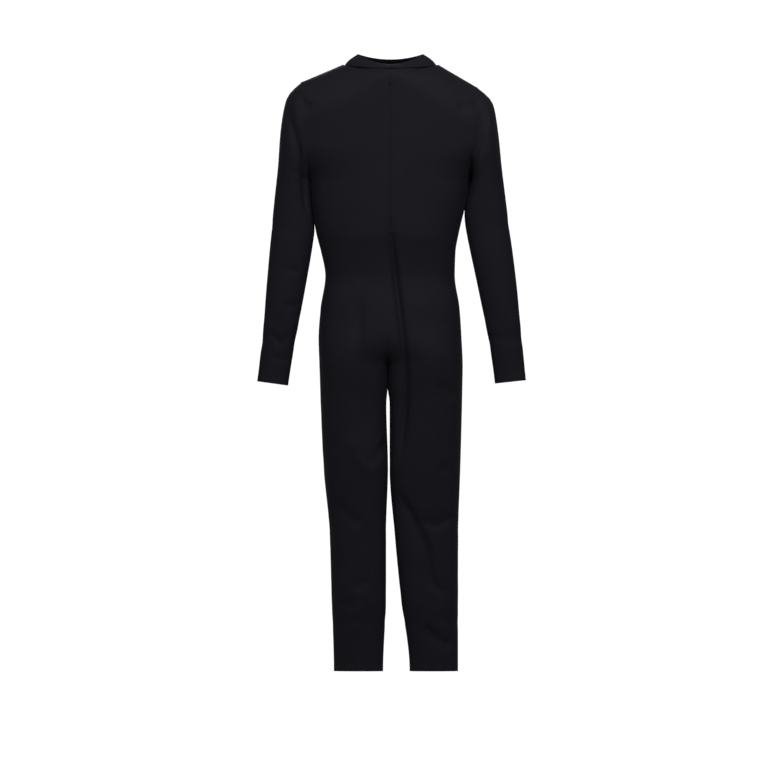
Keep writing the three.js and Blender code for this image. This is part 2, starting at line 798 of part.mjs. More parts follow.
const stopHalf = slitHalf + zipCoilWidth;
addPiece('zip_bottom_stop',
  block(-stopHalf, stopHalf, coilFace, plateBack, zipBottom, zipBottom + bottomStopHeight), 'metal');
addPiece('zip_slider', zipSlider(), 'metal');
addPiece('zip_pull', zipPull(), 'metal');
addPiece('zip_guard', zipGuard(), 'lining');
addPiece('care_label', careLabel(), 'label');

export default group;
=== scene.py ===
# A full wetsuit in thin black stretch knit, shown from behind as it hangs: panels, sleeves, hems, funnel
# collar and hidden zip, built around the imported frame. The pattern is worked in millimetres above the
# ankle's edge, and every finished point goes into the frame's metres through to_frame.
import functools
import math

import bmesh
import bpy
import numpy as np
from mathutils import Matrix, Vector


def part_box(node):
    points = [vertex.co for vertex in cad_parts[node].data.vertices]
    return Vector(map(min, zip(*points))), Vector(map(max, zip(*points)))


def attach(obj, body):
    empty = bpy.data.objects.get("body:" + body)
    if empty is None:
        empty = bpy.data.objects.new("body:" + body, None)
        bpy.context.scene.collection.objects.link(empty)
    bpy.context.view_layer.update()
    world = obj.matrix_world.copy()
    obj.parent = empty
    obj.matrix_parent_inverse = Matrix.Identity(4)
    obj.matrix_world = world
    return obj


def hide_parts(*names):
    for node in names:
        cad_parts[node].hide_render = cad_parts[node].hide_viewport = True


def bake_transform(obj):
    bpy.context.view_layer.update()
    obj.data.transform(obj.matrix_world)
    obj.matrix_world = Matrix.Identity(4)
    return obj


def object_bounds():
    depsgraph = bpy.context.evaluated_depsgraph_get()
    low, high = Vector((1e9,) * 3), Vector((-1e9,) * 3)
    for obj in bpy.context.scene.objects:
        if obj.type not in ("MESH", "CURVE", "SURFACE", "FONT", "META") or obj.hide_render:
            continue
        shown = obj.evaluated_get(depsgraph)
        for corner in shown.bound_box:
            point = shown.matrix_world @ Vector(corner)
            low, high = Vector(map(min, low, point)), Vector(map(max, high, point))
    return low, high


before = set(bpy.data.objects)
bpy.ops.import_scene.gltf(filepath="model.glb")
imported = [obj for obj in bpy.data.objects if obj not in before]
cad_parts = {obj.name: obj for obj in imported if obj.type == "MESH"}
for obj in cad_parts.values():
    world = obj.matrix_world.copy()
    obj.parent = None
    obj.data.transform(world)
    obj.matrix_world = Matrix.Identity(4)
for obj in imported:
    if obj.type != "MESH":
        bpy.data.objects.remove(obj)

bl_info = {
    "name": "Full wetsuit",
    "version": (1, 0, 0),
    "blender": (4, 5, 0),
    "location": "View3D > Sidebar > Wetsuit",
    "description": "Builds the cloth, collar, hems and zip of a full wetsuit around its packed frame",
    "category": "Add Mesh",
}

CAD_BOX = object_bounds()
MM = 0.001
HANG_HEIGHT = -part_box("left_ankle_hem")[0].z / MM

# ---- The pattern ----
# Heights up the body in millimetres above the ankle's edge, and the half outlines at those heights.

HEM_HEIGHT = 14.0
FORK_HEIGHT = 105.0
CALF, KNEE, LOW_THIGH, THIGH, CROTCH = 181, 331, 482, 632, 724
HIP, HIGH_HIP, WAIST, MIDRIFF, RIBS = 783, 858, 933, 989, 1030
CHEST, UNDERARM, SCYE, SHOULDER, NECK = 1100, 1150, 1250, 1375, 1423
THIGHS_MEET = 680
BODY_HEIGHTS = [
    0, CALF, KNEE, LOW_THIGH, THIGH, CROTCH, HIP, HIGH_HIP, WAIST, MIDRIFF, RIBS, CHEST, UNDERARM,
]
DEPTH_HEIGHTS = BODY_HEIGHTS + [SCYE, SHOULDER, NECK]
NECK_HALF_WIDTH = 112.0
SHOULDER_ROUND = 100.0
NECK_CROWN = 82.0
ARMHOLE_FLATTEN = 0.24
FULLNESS = 0.8
INSEAM_FULLNESS = 0.5
ARMHOLE_ROUND = 90.0
ARMHOLE_DEPTH = 56.0
CAP_LENGTH = 114.0
UNDERARM_CLEARANCE = 0.2
SLEEVE_LEAVES = 1.5  # how gently the sleeve curves away from the body below the place where they touch
NECK_SHARE = 0.5  # the share of a panel's columns that end at the neckline, not at the shoulder
CAP_QUICKENS = 0.25  # how much faster the cap's outer edge drops near the shoulder's tip
CAP_TURNS_FROM = 0.5  # the share of the drop below which the cap's outer edge turns into the arm's
CAP_BLENDS_OUT = 0.7  # the share of the cap over which the armhole's shape turns into the arm's
CAP_STOPS = [0, 0.06, 0.12, 0.19, 0.36, 0.6, 0.82, 1.0]
SLEEVE_STOPS = [0, 135, 210, 370]
SLEEVE_HALF_WIDTHS = [49.5, 45, 41, 36]
SLEEVE_HALF_DEPTHS = [37, 32, 29, 20]
COLLAR_TOP_HALF_WIDTH = 76.0
COLLAR_RISE = 27.0
COLLAR_TUCK = 4.0
COLLAR_SEAT = 0.3
COLLAR_BELLY = 4.5


def smooth(t):
    t = np.clip(t, 0, 1)
    return t * t * (3 - 2 * t)


def profile(xs, ys):
    """A smooth curve through the points (xs, ys) that never overshoots them."""
    xs, ys = np.asarray(xs, float), np.asarray(ys, float)
    steps = np.diff(ys) / np.diff(xs)
    before, after = steps[:-1], steps[1:]
    slopes = np.zeros_like(ys)
    same_way = before * after > 0
    total = np.where(same_way, before + after, 1.0)
    slopes[1:-1] = np.where(same_way, 2 * before * after / total, 0.0)

    def at(x):
        inside = np.clip(x, xs[0], xs[-1])
        i = np.clip(np.searchsorted(xs, inside) - 1, 0, len(xs) - 2)
        span = xs[i + 1] - xs[i]
        t = (inside - xs[i]) / span
        curve = (ys[i + 1] - ys[i]) * t * t * (3 - 2 * t)
        return ys[i] + curve + span * t * (1 - t) * (slopes[i] * (1 - t) - slopes[i + 1] * t)

    return at


class Half:
    """The left or right half of the suit: its outline, its shoulder and how its sleeve hangs. The sleeve
    touches the body for a share of the cap's length, and cap is its outer edge at CAP_STOPS."""

    def __init__(self, name, side, outer, inner, thighs_meet, shoulder, sleeve_away, touch, lean, cap):
        self.name = name
        self.side = side
        self.outer = profile(BODY_HEIGHTS, outer)
        below = BODY_HEIGHTS.index(CROTCH)
        inner_heights = BODY_HEIGHTS[:below] + [THIGHS_MEET] + BODY_HEIGHTS[below:]
        self.inner = profile(inner_heights, inner[:below] + [thighs_meet] + inner[below:])
        self.tip_x, self.tip_z = shoulder
        self.sleeve_away = sleeve_away
        self.touch = touch
        self.lean_top, self.lean_wrist = lean
        self.cap_x = profile(CAP_STOPS, [shoulder[0]] + cap)


class Face:
    """The back or front of the suit: how deep it stands at each height, and its neckline's drop."""

    def __init__(self, name, side, depths, neck_drop, collar_depth, collar_dip):
        self.name = name
        self.side = side
        self.depth = profile(DEPTH_HEIGHTS, depths)
        self.neck_drop = neck_drop
        self.collar_depth = collar_depth
        self.collar_dip = collar_dip


LEFT = Half(
    "left", -1,
    outer=[132, 137.5, 142, 156, 163, 166, 168, 163, 152, 162, 173, 185, 188],
    inner=[18.5, 11.5, 11.5, 7, 11, 7, 6, 5, 3, 1, 0, 0, 0], thighs_meet=7.3,
    shoulder=(210, SHOULDER + 7), sleeve_away=4.5, touch=0.7, lean=(7.4, 7.8),
    cap=[238, 245, 251, 259, 265, 271, 275],
)
RIGHT = Half(
    "right", 1,
    outer=[157.5, 157.5, 158, 163, 167, 168.5, 166, 161, 150, 151.5, 159, 176, 187],
    inner=[46, 25, 10.5, -1, -1, -7, -6, -5, -3, -1, 0, 0, 0], thighs_meet=-6.7,
    shoulder=(205, SHOULDER - 6), sleeve_away=18, touch=0.45, lean=(10.8, 6.2),
    cap=[233, 242, 246, 254, 262, 269, 274],
)
BACK = Face(
    "back", -1,
    depths=[33, 46, 50, 62, 70, 81, 86, 80, 69, 75, 82, 82, 82, 82, 82, 82],
    neck_drop=8, collar_depth=50, collar_dip=25,
)
FRONT = Face(
    "front", 1,
    depths=[33, 46, 50, 62, 66, 74, 77, 72, 63, 68, 76, 83, 86, 88, 72, 70],
    neck_drop=23, collar_depth=45, collar_dip=11.3,
)
HALVES = (LEFT, RIGHT)
FACES = (BACK, FRONT)


def full(section, power=FULLNESS):
    """Fills out a round section a little, so that the cloth turns away only near its edges."""
    return np.sign(section) * np.abs(section) ** power


def lower_points(half, face, t, z):
    """Points of a body panel below the underarm: t is 0 at the centre or inseam, 1 at the side seam."""
    seam = half.inner(z)
    width = half.outer(z) - seam
    split = 1 - smooth((z - CROTCH) / FORK_HEIGHT)
    middle = width / 2 * split
    reach = width * (1 - split / 2)
    start = np.arccos(-np.minimum(middle / reach, 1))
    angle = start * (1 - t)
    x = seam + middle + reach * np.cos(angle)
    y = face.depth(z) * full(np.sin(angle), np.where(angle > np.pi / 2, INSEAM_FULLNESS, FULLNESS))
    return np.stack([half.side * x, face.side * y, z + 0 * t], axis=-1)


def armhole_x(half, z):
    start = half.outer(UNDERARM)
    return start + (half.tip_x - start) * (z - UNDERARM) / (half.tip_z - UNDERARM)


def shoulder_line(half, x):
    slope = (NECK - half.tip_z) / (half.tip_x - NECK_HALF_WIDTH)
    over_neck = np.clip((NECK_HALF_WIDTH - x) / NECK_HALF_WIDTH, 0, 1) ** 2
    at_centre = half.tip_z + slope * half.tip_x
    return half.tip_z + slope * (half.tip_x - x) + (NECK + NECK_CROWN - at_centre) * over_neck


def upper_depth(half, face, x, z):
    close = 1 - ARMHOLE_FLATTEN * smooth((z - UNDERARM) / ARMHOLE_ROUND)
    reach = armhole_x(half, z) / close
    section = np.sqrt(np.clip(1 - (x / reach) ** 2, 0, None))
    below = np.clip((shoulder_line(half, x) - z) / SHOULDER_ROUND, 0, 1)
    return face.depth(z) * full(section) * np.sqrt(1 - (1 - below) ** 2)


def upper_points(half, face, t, v):
    """Points of a body panel above the underarm: v runs from the underarm line, 0, to the top edge, 1."""
    neck = t <= NECK_SHARE
    across = np.where(neck, t / NECK_SHARE, 1.0)
    along = np.where(neck, 0.0, (t - NECK_SHARE) / (1 - NECK_SHARE))
    shoulder_x = NECK_HALF_WIDTH + (half.tip_x - NECK_HALF_WIDTH) * along
    top_x = np.where(neck, NECK_HALF_WIDTH * across, shoulder_x)
    neck_z = NECK - face.neck_drop * (1 - across**2)
    top_z = np.where(neck, neck_z, NECK + (half.tip_z - NECK) * along)
    arm_x = armhole_x(half, UNDERARM + (half.tip_z - UNDERARM) * v)
    share = np.sin(np.pi / 2 * t) * (1 - v) + top_x / half.tip_x * v
    x = arm_x * share
    z = UNDERARM + (top_z - UNDERARM) * v
    return np.stack([half.side * x, face.side * upper_depth(half, face, x, z), z], axis=-1)


# ---- Sleeves: rings that start at the armhole and fan round to lie square across the arm ----

SLEEVE_LENGTH = SLEEVE_STOPS[-1]
SPLIT = 0.5  # how far down the cap the sleeve's upper piece ends
sleeve_width = profile(SLEEVE_STOPS, SLEEVE_HALF_WIDTHS)
sleeve_depth = profile(SLEEVE_STOPS, SLEEVE_HALF_DEPTHS)


def inner_cap(half, s):
    z = UNDERARM - CAP_LENGTH * s
    below = np.clip((s - half.touch) / (1 - half.touch), 0, 1)
    away = UNDERARM_CLEARANCE + half.sleeve_away * below**SLEEVE_LEAVES
    return np.array([half.outer(z) + away, z])


def arm_line(half, distance):
    lean = half.lean_top + (half.lean_wrist - half.lean_top) * distance / SLEEVE_LENGTH
    path = math.radians((half.lean_top + lean) / 2)
    top = math.radians(half.lean_top)
    start = inner_cap(half, 1) + sleeve_width(0) * np.array([math.cos(top), math.sin(top)])
    middle = start + distance * np.array([math.sin(path), -math.cos(path)])
    return middle, math.radians(lean)


def outer_cap(half, s):
    """The cap's outer edge: s is the share of the drop from the shoulder's tip to the upper arm."""
    middle, lean = arm_line(half, 0)
    end = middle + sleeve_width(0) * np.array([math.cos(lean), math.sin(lean)])
    drop = 1 - (1 - s) * (1 - CAP_QUICKENS * s)
    x = half.cap_x(drop) + (end[0] - half.cap_x(1.0)) * smooth((drop - CAP_TURNS_FROM) / (1 - CAP_TURNS_FROM))
    return np.array([float(x), half.tip_z + (end[1] - half.tip_z) * drop])


def underarm_point(half):
    return np.array([float(half.outer(UNDERARM)), UNDERARM])


def cap_ring(half, s, angle):
    """Down to SPLIT the rings fan about the underarm point. Beyond it they also move down the arm."""
    inner = inner_cap(half, (s - SPLIT) / (1 - SPLIT)) if s > SPLIT else underarm_point(half)
    outer = outer_cap(half, s)
    along = (1 - np.cos(angle)) / 2
    x, z = (inner[i] + (outer[i] - inner[i]) * along for i in (0, 1))
    edge_z = UNDERARM + (half.tip_z - UNDERARM) * along
    edge_x = armhole_x(half, edge_z)
    on_back = -upper_depth(half, BACK, edge_x, edge_z)
    on_front = upper_depth(half, FRONT, edge_x, edge_z)
    on_armhole = np.where(np.sin(angle) < 0, on_back, on_front)
    depth = ARMHOLE_DEPTH + (SLEEVE_HALF_DEPTHS[0] - ARMHOLE_DEPTH) * s
    rounding = smooth(s / CAP_BLENDS_OUT)
    y = on_armhole * (1 - rounding) + depth * full(np.sin(angle)) * rounding
    return np.stack([half.side * x, y, z], axis=-1)


def arm_ring(half, distance, angle):
    middle, lean = arm_line(half, distance)
    width = -np.cos(angle) * sleeve_width(distance)
    x = middle[0] + width * math.cos(lean)
    z = middle[1] + width * math.sin(lean)
    return np.stack([half.side * x, sleeve_depth(distance) * full(np.sin(angle)), z], axis=-1)


# ---- Grids of the whole suit ----

ROW_STEP = 9.0
COLUMNS = 40
COLUMN_CROWDING = 0.35  # the columns crowd this much towards the centre and the side seams
ARM_CROWDING = 0.6
FORK_CROWDING = 1.25
CAP_ROWS = 16
HALF_ARM_COLUMNS = 26
HEM_ROWS = 3
CROTCH_ROWS = 18
EASE = 1.2  # how far the cloth stands off its form
WELD_CELL = 0.05
JOIN_CELL = 0.002
CELL_SHIFT = 0.37  # keeps the cells' borders away from round sizes, where points often lie


def arm_shares():
    """Places across the arm, 0 to 1, a little closer together at the edges."""
    even = np.arange(HALF_ARM_COLUMNS + 1) / HALF_ARM_COLUMNS
    return ARM_CROWDING * (1 - np.cos(np.pi * even)) / 2 + (1 - ARM_CROWDING) * even


def arm_angles():
    across = np.arccos(1 - 2 * arm_shares())
    return np.concatenate([across, 2 * np.pi - across[-2:0:-1]])


def coincident(points, cell):
    """Points that share a cell become one. Returns those that stay and each point's index into them."""
    cells = np.floor(points / cell + CELL_SHIFT).astype(np.int64)
    _, first, index = np.unique(cells, axis=0, return_index=True, return_inverse=True)
    return points[first], index.ravel()


def stepped(low, high):
    """Heights from low to just below high, about ROW_STEP apart."""
    return np.linspace(low, high, max(round((high - low) / ROW_STEP), 1) + 1)[:-1]


def body_heights():
    """Rows up to the underarm. They crowd towards the crotch, where the legs part sharply."""
    hem = np.linspace(0, HEM_HEIGHT, HEM_ROWS + 1)[:-1]
    fork = CROTCH + (HIGH_HIP - CROTCH) * (np.arange(CROTCH_ROWS) / CROTCH_ROWS) ** FORK_CROWDING
    spans = [stepped(HEM_HEIGHT, CROTCH), fork, stepped(HIGH_HIP, RIBS), stepped(RIBS, UNDERARM)]
    return np.concatenate([hem, *spans])


def body_grid(half, face):
    even = np.linspace(0, 1, COLUMNS + 1)
    t = even - COLUMN_CROWDING * np.sin(2 * np.pi * even) / (2 * np.pi)
    lower = lower_points(half, face, t[None, :], body_heights()[:, None])
    upper = upper_points(half, face, t[None, :], arm_shares()[:, None])
    return np.concatenate([lower, upper])


def sleeve_grid(half):
    """Rings from the armhole down to the cuff's end. The last HEM_ROWS spans are the cuff's hem."""
    angle = arm_angles()
    cap = [cap_ring(half, s, angle) for s in np.arange(CAP_ROWS) / CAP_ROWS]
    above_hem = stepped(0, SLEEVE_LENGTH - HEM_HEIGHT)
    hem = np.linspace(SLEEVE_LENGTH - HEM_HEIGHT, SLEEVE_LENGTH, HEM_ROWS + 1)
    return np.array(cap + [arm_ring(half, d, angle) for d in np.concatenate([above_hem, hem])])


def grid_quads(index):
    corners = [index[:-1, :-1], index[:-1, 1:], index[1:, 1:], index[1:, :-1]]
    return np.stack([c.ravel() for c in corners], axis=-1)


def weld(grids, wrapped):
    """One skin from several grids: points that coincide become one. Returns the points, the quads and
    each grid's index into the points."""
    points, index = coincident(np.concatenate([g.reshape(-1, 3) for g in grids]), WELD_CELL)
    quads, maps, start = [], [], 0
    for g, closed in zip(grids, wrapped):
        rows, columns = g.shape[:2]
        at = index[start:start + rows * columns].reshape(rows, columns)
        start += rows * columns
        maps.append(at)
        quads.append(grid_quads(np.hstack([at, at[:, :1]]) if closed else at))
    return points, np.concatenate(quads), maps


def without_repeats(quads):
    faces = (list(dict.fromkeys(int(i) for i in quad)) for quad in quads)
    return [corners for corners in faces if len(corners) > 2]


def skin_mesh(name, points, quads):
    """A mesh of the welded skin with every face turned outwards."""
    mesh = bpy.data.meshes.new(name)
    mesh.from_pydata(points.tolist(), [], without_repeats(quads))
    skin = bmesh.new()
    skin.from_mesh(mesh)
    bmesh.ops.recalc_face_normals(skin, faces=skin.faces)
    skin.to_mesh(mesh)
    skin.free()
    return mesh


# ---- Drape ----

DRAPE_FRAMES = 18
DRAPE_CAP = 5.0  # the most that settling moves the cloth
SIDEWAYS_SHARE = 0.3
CLOTH = {
    "quality": 5, "mass": 0.3, "tension_stiffness": 12, "compression_stiffness": 12, "shear_stiffness": 5,
    "bending_stiffness": 0.15, "vertex_group_mass": "held", "pin_stiffness": 1.0, "shrink_min": -0.022,
}
VALLEY_FLOOR = 0.35  # how round a fold's floor is, as a share of its width
GENTLE_SIDE = 2.2  # how far a fold's left side reaches as seen from behind, in half widths
STEEP_SIDE = 0.8  # and its right side, where the cloth laps over
VALLEY_FALL = 1.4
RIDGE_PLACE = 1.7
RIDGE_WIDTH = 1.1
FOLD_FADE = 0.2  # the share of a fold's length over which each end dies away
FOLDS_FULL_FROM = 0.5  # how squarely the cloth faces back or front where its folds reach their full depth
HOLD_ROWS = 3


def drape(points, quads, held):
    """Lets the welded skin settle as cloth that is a little too big for its form. held is 0 to 1."""
    mesh = skin_mesh("drape", points * MM, quads)
    cloth_object = bpy.data.objects.new("drape", mesh)
    bpy.context.scene.collection.objects.link(cloth_object)
    group = cloth_object.vertex_groups.new(name="held")
    for i, weight in enumerate(held):
        group.add([i], float(weight), "REPLACE")
    modifier = cloth_object.modifiers.new("drape", "CLOTH")
    for field, value in CLOTH.items():
        setattr(modifier.settings, field, value)
    modifier.collision_settings.use_collision = False
    modifier.collision_settings.use_self_collision = False
    scene = bpy.context.scene
    for step in range(1, DRAPE_FRAMES + 1):
        scene.frame_set(step)
    settled = cloth_object.evaluated_get(bpy.context.evaluated_depsgraph_get()).data
    moved = np.empty(len(points) * 3)
    settled.vertices.foreach_get("co", moved)
    scene.frame_set(1)
    bpy.data.objects.remove(cloth_object)
    bpy.data.meshes.remove(mesh)
    shift = (moved.reshape(-1, 3) / MM - points) * [SIDEWAYS_SHARE, 1, 1]
    size = np.linalg.norm(shift, axis=1, keepdims=True)
    return shift * DRAPE_CAP * np.tanh(size / DRAPE_CAP) / np.maximum(size, 1e-6)


LINE_STEPS = 8


def rounded_line(line):
    """A smooth curve through the points of a line."""
    p = np.array(line, float)
    p = np.vstack([2 * p[0] - p[1], p, 2 * p[-1] - p[-2]])
    out = []
    for i in range(1, len(p) - 2):
        for t in np.linspace(0, 1, LINE_STEPS, endpoint=False):
            a = 2 * p[i]
            b = (p[i + 1] - p[i - 1]) * t
            c = (2 * p[i - 1] - 5 * p[i] + 4 * p[i + 1] - p[i + 2]) * t * t
            d = (3 * p[i] - p[i - 1] - 3 * p[i + 1] + p[i + 2]) * t**3
            out.append((a + b + c + d) / 2)
    return np.array(out + [p[-2]])


def fold(points, line, width, depth, ridge):
    """How far each point moves out for a soft fold whose valley runs along a line (x, height). A ridge
    may stand beside the valley, on its left as seen from behind."""
    curve = rounded_line(line)
    flat = points[:, [0, 2]]
    best = np.full(len(points), 1e9)
    signed = np.zeros(len(points))
    place = np.zeros(len(points))
    lengths = np.linalg.norm(np.diff(curve, axis=0), axis=1)
    run = np.concatenate([[0], np.cumsum(lengths)]) / lengths.sum()
    for i, (a, b) in enumerate(zip(curve[:-1], curve[1:])):
        along = b - a
        t = np.clip((flat - a) @ along / (along @ along), 0, 1)
        offset = flat - a - t[:, None] * along
        distance = np.linalg.norm(offset, axis=1)
        turn = along[0] * offset[:, 1] - along[1] * offset[:, 0]
        nearer = distance < best
        best = np.where(nearer, distance, best)
        signed = np.where(nearer, np.sign(turn) * distance, signed)
        place = np.where(nearer, run[i] + t * (run[i + 1] - run[i]), place)
    fade = smooth(place / FOLD_FADE) * smooth((1 - place) / FOLD_FADE)
    left_of = -signed if curve[0][1] > curve[-1][1] else signed
    side = np.where(left_of > 0, GENTLE_SIDE, STEEP_SIDE) * width
    away = np.sqrt((signed / side) ** 2 + VALLEY_FLOOR**2) - VALLEY_FLOOR
    valley = -np.exp(-VALLEY_FALL * away)
    beside = ridge * np.exp(-(((left_of - RIDGE_PLACE * width) / (RIDGE_WIDTH * width)) ** 2))
    return depth * (valley + beside) * fade


# Each fold: its valley's line, its half width and depth in millimetres, and its ridge as a share of the
# depth. A negative depth raises the cloth instead.
BACK_FOLDS = [
    ([(0, 1082), (5, 1010), (14, 923), (30, 785), (35, 677), (34, 620), (25, 485)], 7, 14, 0.12),
    ([(-70, 905), (-72, 790), (-68, 690), (-60, 600), (-53, 515)], 15, 6, 0.2),
    ([(-92, 560), (-74, 500), (-49, 474), (-28, 488), (-12, 520)], 7, -4, 0),
    ([(-20, 540), (-6, 528)], 7, 8, 0.1),
    ([(-132, 404), (-100, 372), (-66, 346)], 9, 4, 0),
    ([(-125, 168), (-102, 155), (-80, 151)], 8, 4, 0),
    ([(-82, 190), (-64, 205), (-44, 211)], 8, 4, 0),
    ([(10, 435), (30, 400), (55, 358), (86, 287), (97, 225), (112, 196), (150, 183)], 8, 10, 0),
    ([(70, 356), (109, 342), (152, 366)], 8, 6, 0),
    ([(82, 115), (105, 82), (147, 62)], 8, 7, 0),
    ([(116, 680), (158, 644)], 8, 5, 0),
    ([(120, 490), (136, 466)], 7, 4, 0),
    ([(-249, 1352), (-231, 1275), (-218, 1241), (-204, 1164), (-194, 1060)], 6, 12, 0.1),
    ([(231, 1338), (214, 1241), (193, 1190), (182, 1100)], 5, 11, 0.1),
    ([(-226, 1362), (-205, 1336), (-182, 1321)], 7, 5, 0.2),
    ([(155, 1318), (203, 1328), (223, 1346)], 7, 5, 0.2),
    ([(-252, 945), (-212, 940)], 7, 3, 0.2),
    ([(-281, 803), (-256, 760)], 7, 4, 0.2),
    ([(-278, 737), (-238, 735)], 6, 3, 0.2),
    ([(-252, 860), (-215, 857)], 7, 3, 0.2),
    ([(-116, 1427), (-80, 1417), (-40, 1412), (0, 1410), (40, 1412), (80, 1417), (116, 1427)], 6, 8, 0),
]
FRONT_FOLDS = [
    ([(-120, 745), (-70, 720), (-15, 718)], 9, 3.0, 0.5),
    ([(120, 748), (70, 722), (5, 718)], 9, 3.0, 0.5),
    ([(-150, 950), (-90, 925), (-20, 930)], 11, 2.5, 0.5),
    ([(148, 955), (90, 930), (30, 935)], 11, 2.5, 0.5),
    ([(-188, 1160), (-140, 1200), (-95, 1260)], 10, 3.0, 0.5),
    ([(186, 1160), (140, 1205), (98, 1258)], 10, 3.0, 0.5),
    ([(-140, 372), (-95, 350), (-25, 362)], 9, 3.0, 0.5),
    ([(150, 372), (100, 345), (25, 352)], 9, 3.0, 0.5),
    ([(-125, 120), (-80, 100), (-30, 115)], 8, 2.4, 0.5),
    ([(150, 125), (105, 98), (50, 110)], 8, 2.4, 0.5),
    ([(-262, 940), (-225, 915), (-200, 925)], 7, 2.4, 0.5),
    ([(262, 945), (230, 920), (205, 930)], 7, 2.4, 0.5),
]


@functools.lru_cache(maxsize=1)
def suit_form():
    """The settled skin of the whole suit: for each panel and sleeve its grid of points, its normals, and
    the grid it was cut as."""
    quarters = [(half, face) for half in HALVES for face in FACES]
    keys = [(half.name, face.name) for half, face in quarters] + [(half.name, "sleeve") for half in HALVES]
    grids = [body_grid(half, face) for half, face in quarters] + [sleeve_grid(half) for half in HALVES]
    points, quads, maps = weld(grids, [False] * 4 + [True] * 2)
    at_rest = points
    points = points + evened(drape(points, quads, held_weights(points)), quads)
    normals = outward_normals(points, quads)
    points = points + EASE * normals + folded(points, normals)
    for half, rings in zip(HALVES, maps[4:]):
        keep_split_flat(half, points, at_rest, rings)
    normals = outward_normals(points, quads)
    return {key: (points[at], normals[at], at_rest[at]) for key, at in zip(keys, maps)}


EVENING_ROUNDS = 5


def evened(shift, quads):
    """Averages each point's shift with its neighbours', which takes out the mesh's own ripple."""
    pairs = np.concatenate([quads[:, [0, 1]], quads[:, [1, 2]], quads[:, [2, 3]], quads[:, [3, 0]]])
    pairs = np.concatenate([pairs, pairs[:, ::-1]])
    count = np.bincount(pairs[:, 0], minlength=len(shift))[:, None]
    for _ in range(EVENING_ROUNDS):
        around = [np.bincount(pairs[:, 0], shift[pairs[:, 1], i], len(shift)) for i in range(3)]
        shift = (shift + np.stack(around, -1) / count) / 2
    return shift


def keep_split_flat(half, points, at_rest, rings):
    """Holds the ring where a sleeve's two pieces meet in its plane."""
    ring = outer_cap(half, SPLIT) - underarm_point(half)
    across = np.array([half.side * ring[1], 0, -ring[0]]) / np.linalg.norm(ring)
    for row, at in enumerate(rings):
        hold = math.exp(-(((row - SPLIT * CAP_ROWS) / HOLD_ROWS) ** 2))
        drift = (points[at] - at_rest[at]) @ across
        points[at] -= hold * drift[:, None] * across


def folded(points, normals):
    """The designed folds, as a shift along the normals."""
    out = np.zeros(len(points))
    for folds, side in ((BACK_FOLDS, -1), (FRONT_FOLDS, 1)):
        shown = smooth(side * normals[:, 1] / FOLDS_FULL_FROM)
        for line, width, depth, ridge in folds:
            out += shown * fold(points, line, width, depth, ridge)
    return normals * out[:, None]


def outward_normals(points, quads):
    mesh = skin_mesh("form", points, quads)
    normals = np.empty(len(points) * 3)
    mesh.vertex_normals.foreach_get("vector", normals)
    bpy.data.meshes.remove(mesh)
    normals = normals.reshape(-1, 3)
    return normals * np.sign((normals[:, 1] * points[:, 1]).sum())


LOOSE_HOLD, CHEST_HOLD, SHOULDER_HOLD = 0.24, 0.12, 0.4
CHEST_HOLD_FROM, SHOULDER_HOLD_FROM, HOLD_SPAN = 1000, 1340, 60
ANKLE_HELD_TO, ANKLE_HOLD_SPAN = 150, 140
WRIST_HELD_TO, WRIST_HOLD_SPAN = 815, 130
ARM_STARTS = 215
ZIP_HOLD_WIDTH = 14


def held_weights(points):
    """How firmly the form holds the cloth: firm at the shoulders, zip and hems, loose between."""
    height = points[:, 2]
    held = LOOSE_HOLD + CHEST_HOLD * smooth((height - CHEST_HOLD_FROM) / HOLD_SPAN)
    held = held + SHOULDER_HOLD * smooth((height - SHOULDER_HOLD_FROM) / HOLD_SPAN)
    held = np.maximum(held, smooth((ANKLE_HELD_TO - height) / ANKLE_HOLD_SPAN))
    arm = np.abs(points[:, 0]) > ARM_STARTS
    wrist = np.maximum(held, smooth((WRIST_HELD_TO - height) / WRIST_HOLD_SPAN))
    held = np.where(arm, wrist, held)
    zip_line = np.exp(-((points[:, 0] / ZIP_HOLD_WIDTH) ** 2)) * (points[:, 1] < 0) * (height > RIBS)
    return np.clip(np.maximum(held, zip_line), 0, 1)


# ---- Turning grids into pieces ----


def to_frame(points):
    """Pattern millimetres to the frame's metres."""
    out = np.array(points, float) * MM
    out[..., 2] -= HANG_HEIGHT * MM
    return out


def new_piece(name, points, faces, material):
    mesh = bpy.data.meshes.new(name)
    mesh.from_pydata(to_frame(points).tolist(), [], faces)
    mesh.shade_smooth()
    mesh.materials.append(material)
    piece = bpy.data.objects.new(name, mesh)
    bpy.context.scene.collection.objects.link(piece)
    return piece


def cloth_piece(name, outer, normals, thickness, material, inside=None,
                wrapped=False, levels=1):
    """A closed sheet of real thickness below a grid of points, with crisp edges."""
    rows, columns = outer.shape[:2]
    points = np.concatenate([outer.reshape(-1, 3), (outer - normals * thickness).reshape(-1, 3)])
    back = rows * columns
    index = np.arange(back).reshape(rows, columns)
    around = np.hstack([index, index[:, :1]]) if wrapped else index
    top = grid_quads(around)
    edges = [(around[0, :-1], around[0, 1:]), (around[-1, 1:], around[-1, :-1])]
    if not wrapped:
        edges += [(index[1:, 0], index[:-1, 0]), (index[:-1, -1], index[1:, -1])]
    rims = np.concatenate([np.stack([b, a, a + back, b + back], axis=-1) for a, b in edges])
    points, (top, under, rims) = joined(points, [top, top[:, ::-1] + back, rims])
    piece = new_piece(name, points, top + under + rims, material)
    if inside:
        piece.data.materials.append(inside)
        for polygon in piece.data.polygons[len(top):len(top) + len(under)]:
            polygon.material_index = 1
    crisp_rims(piece.data, len(top) + len(under))
    turn_outward(piece)
    if levels:
        modifier = piece.modifiers.new("finer cloth", "SUBSURF")
        modifier.levels = modifier.render_levels = levels
    return piece


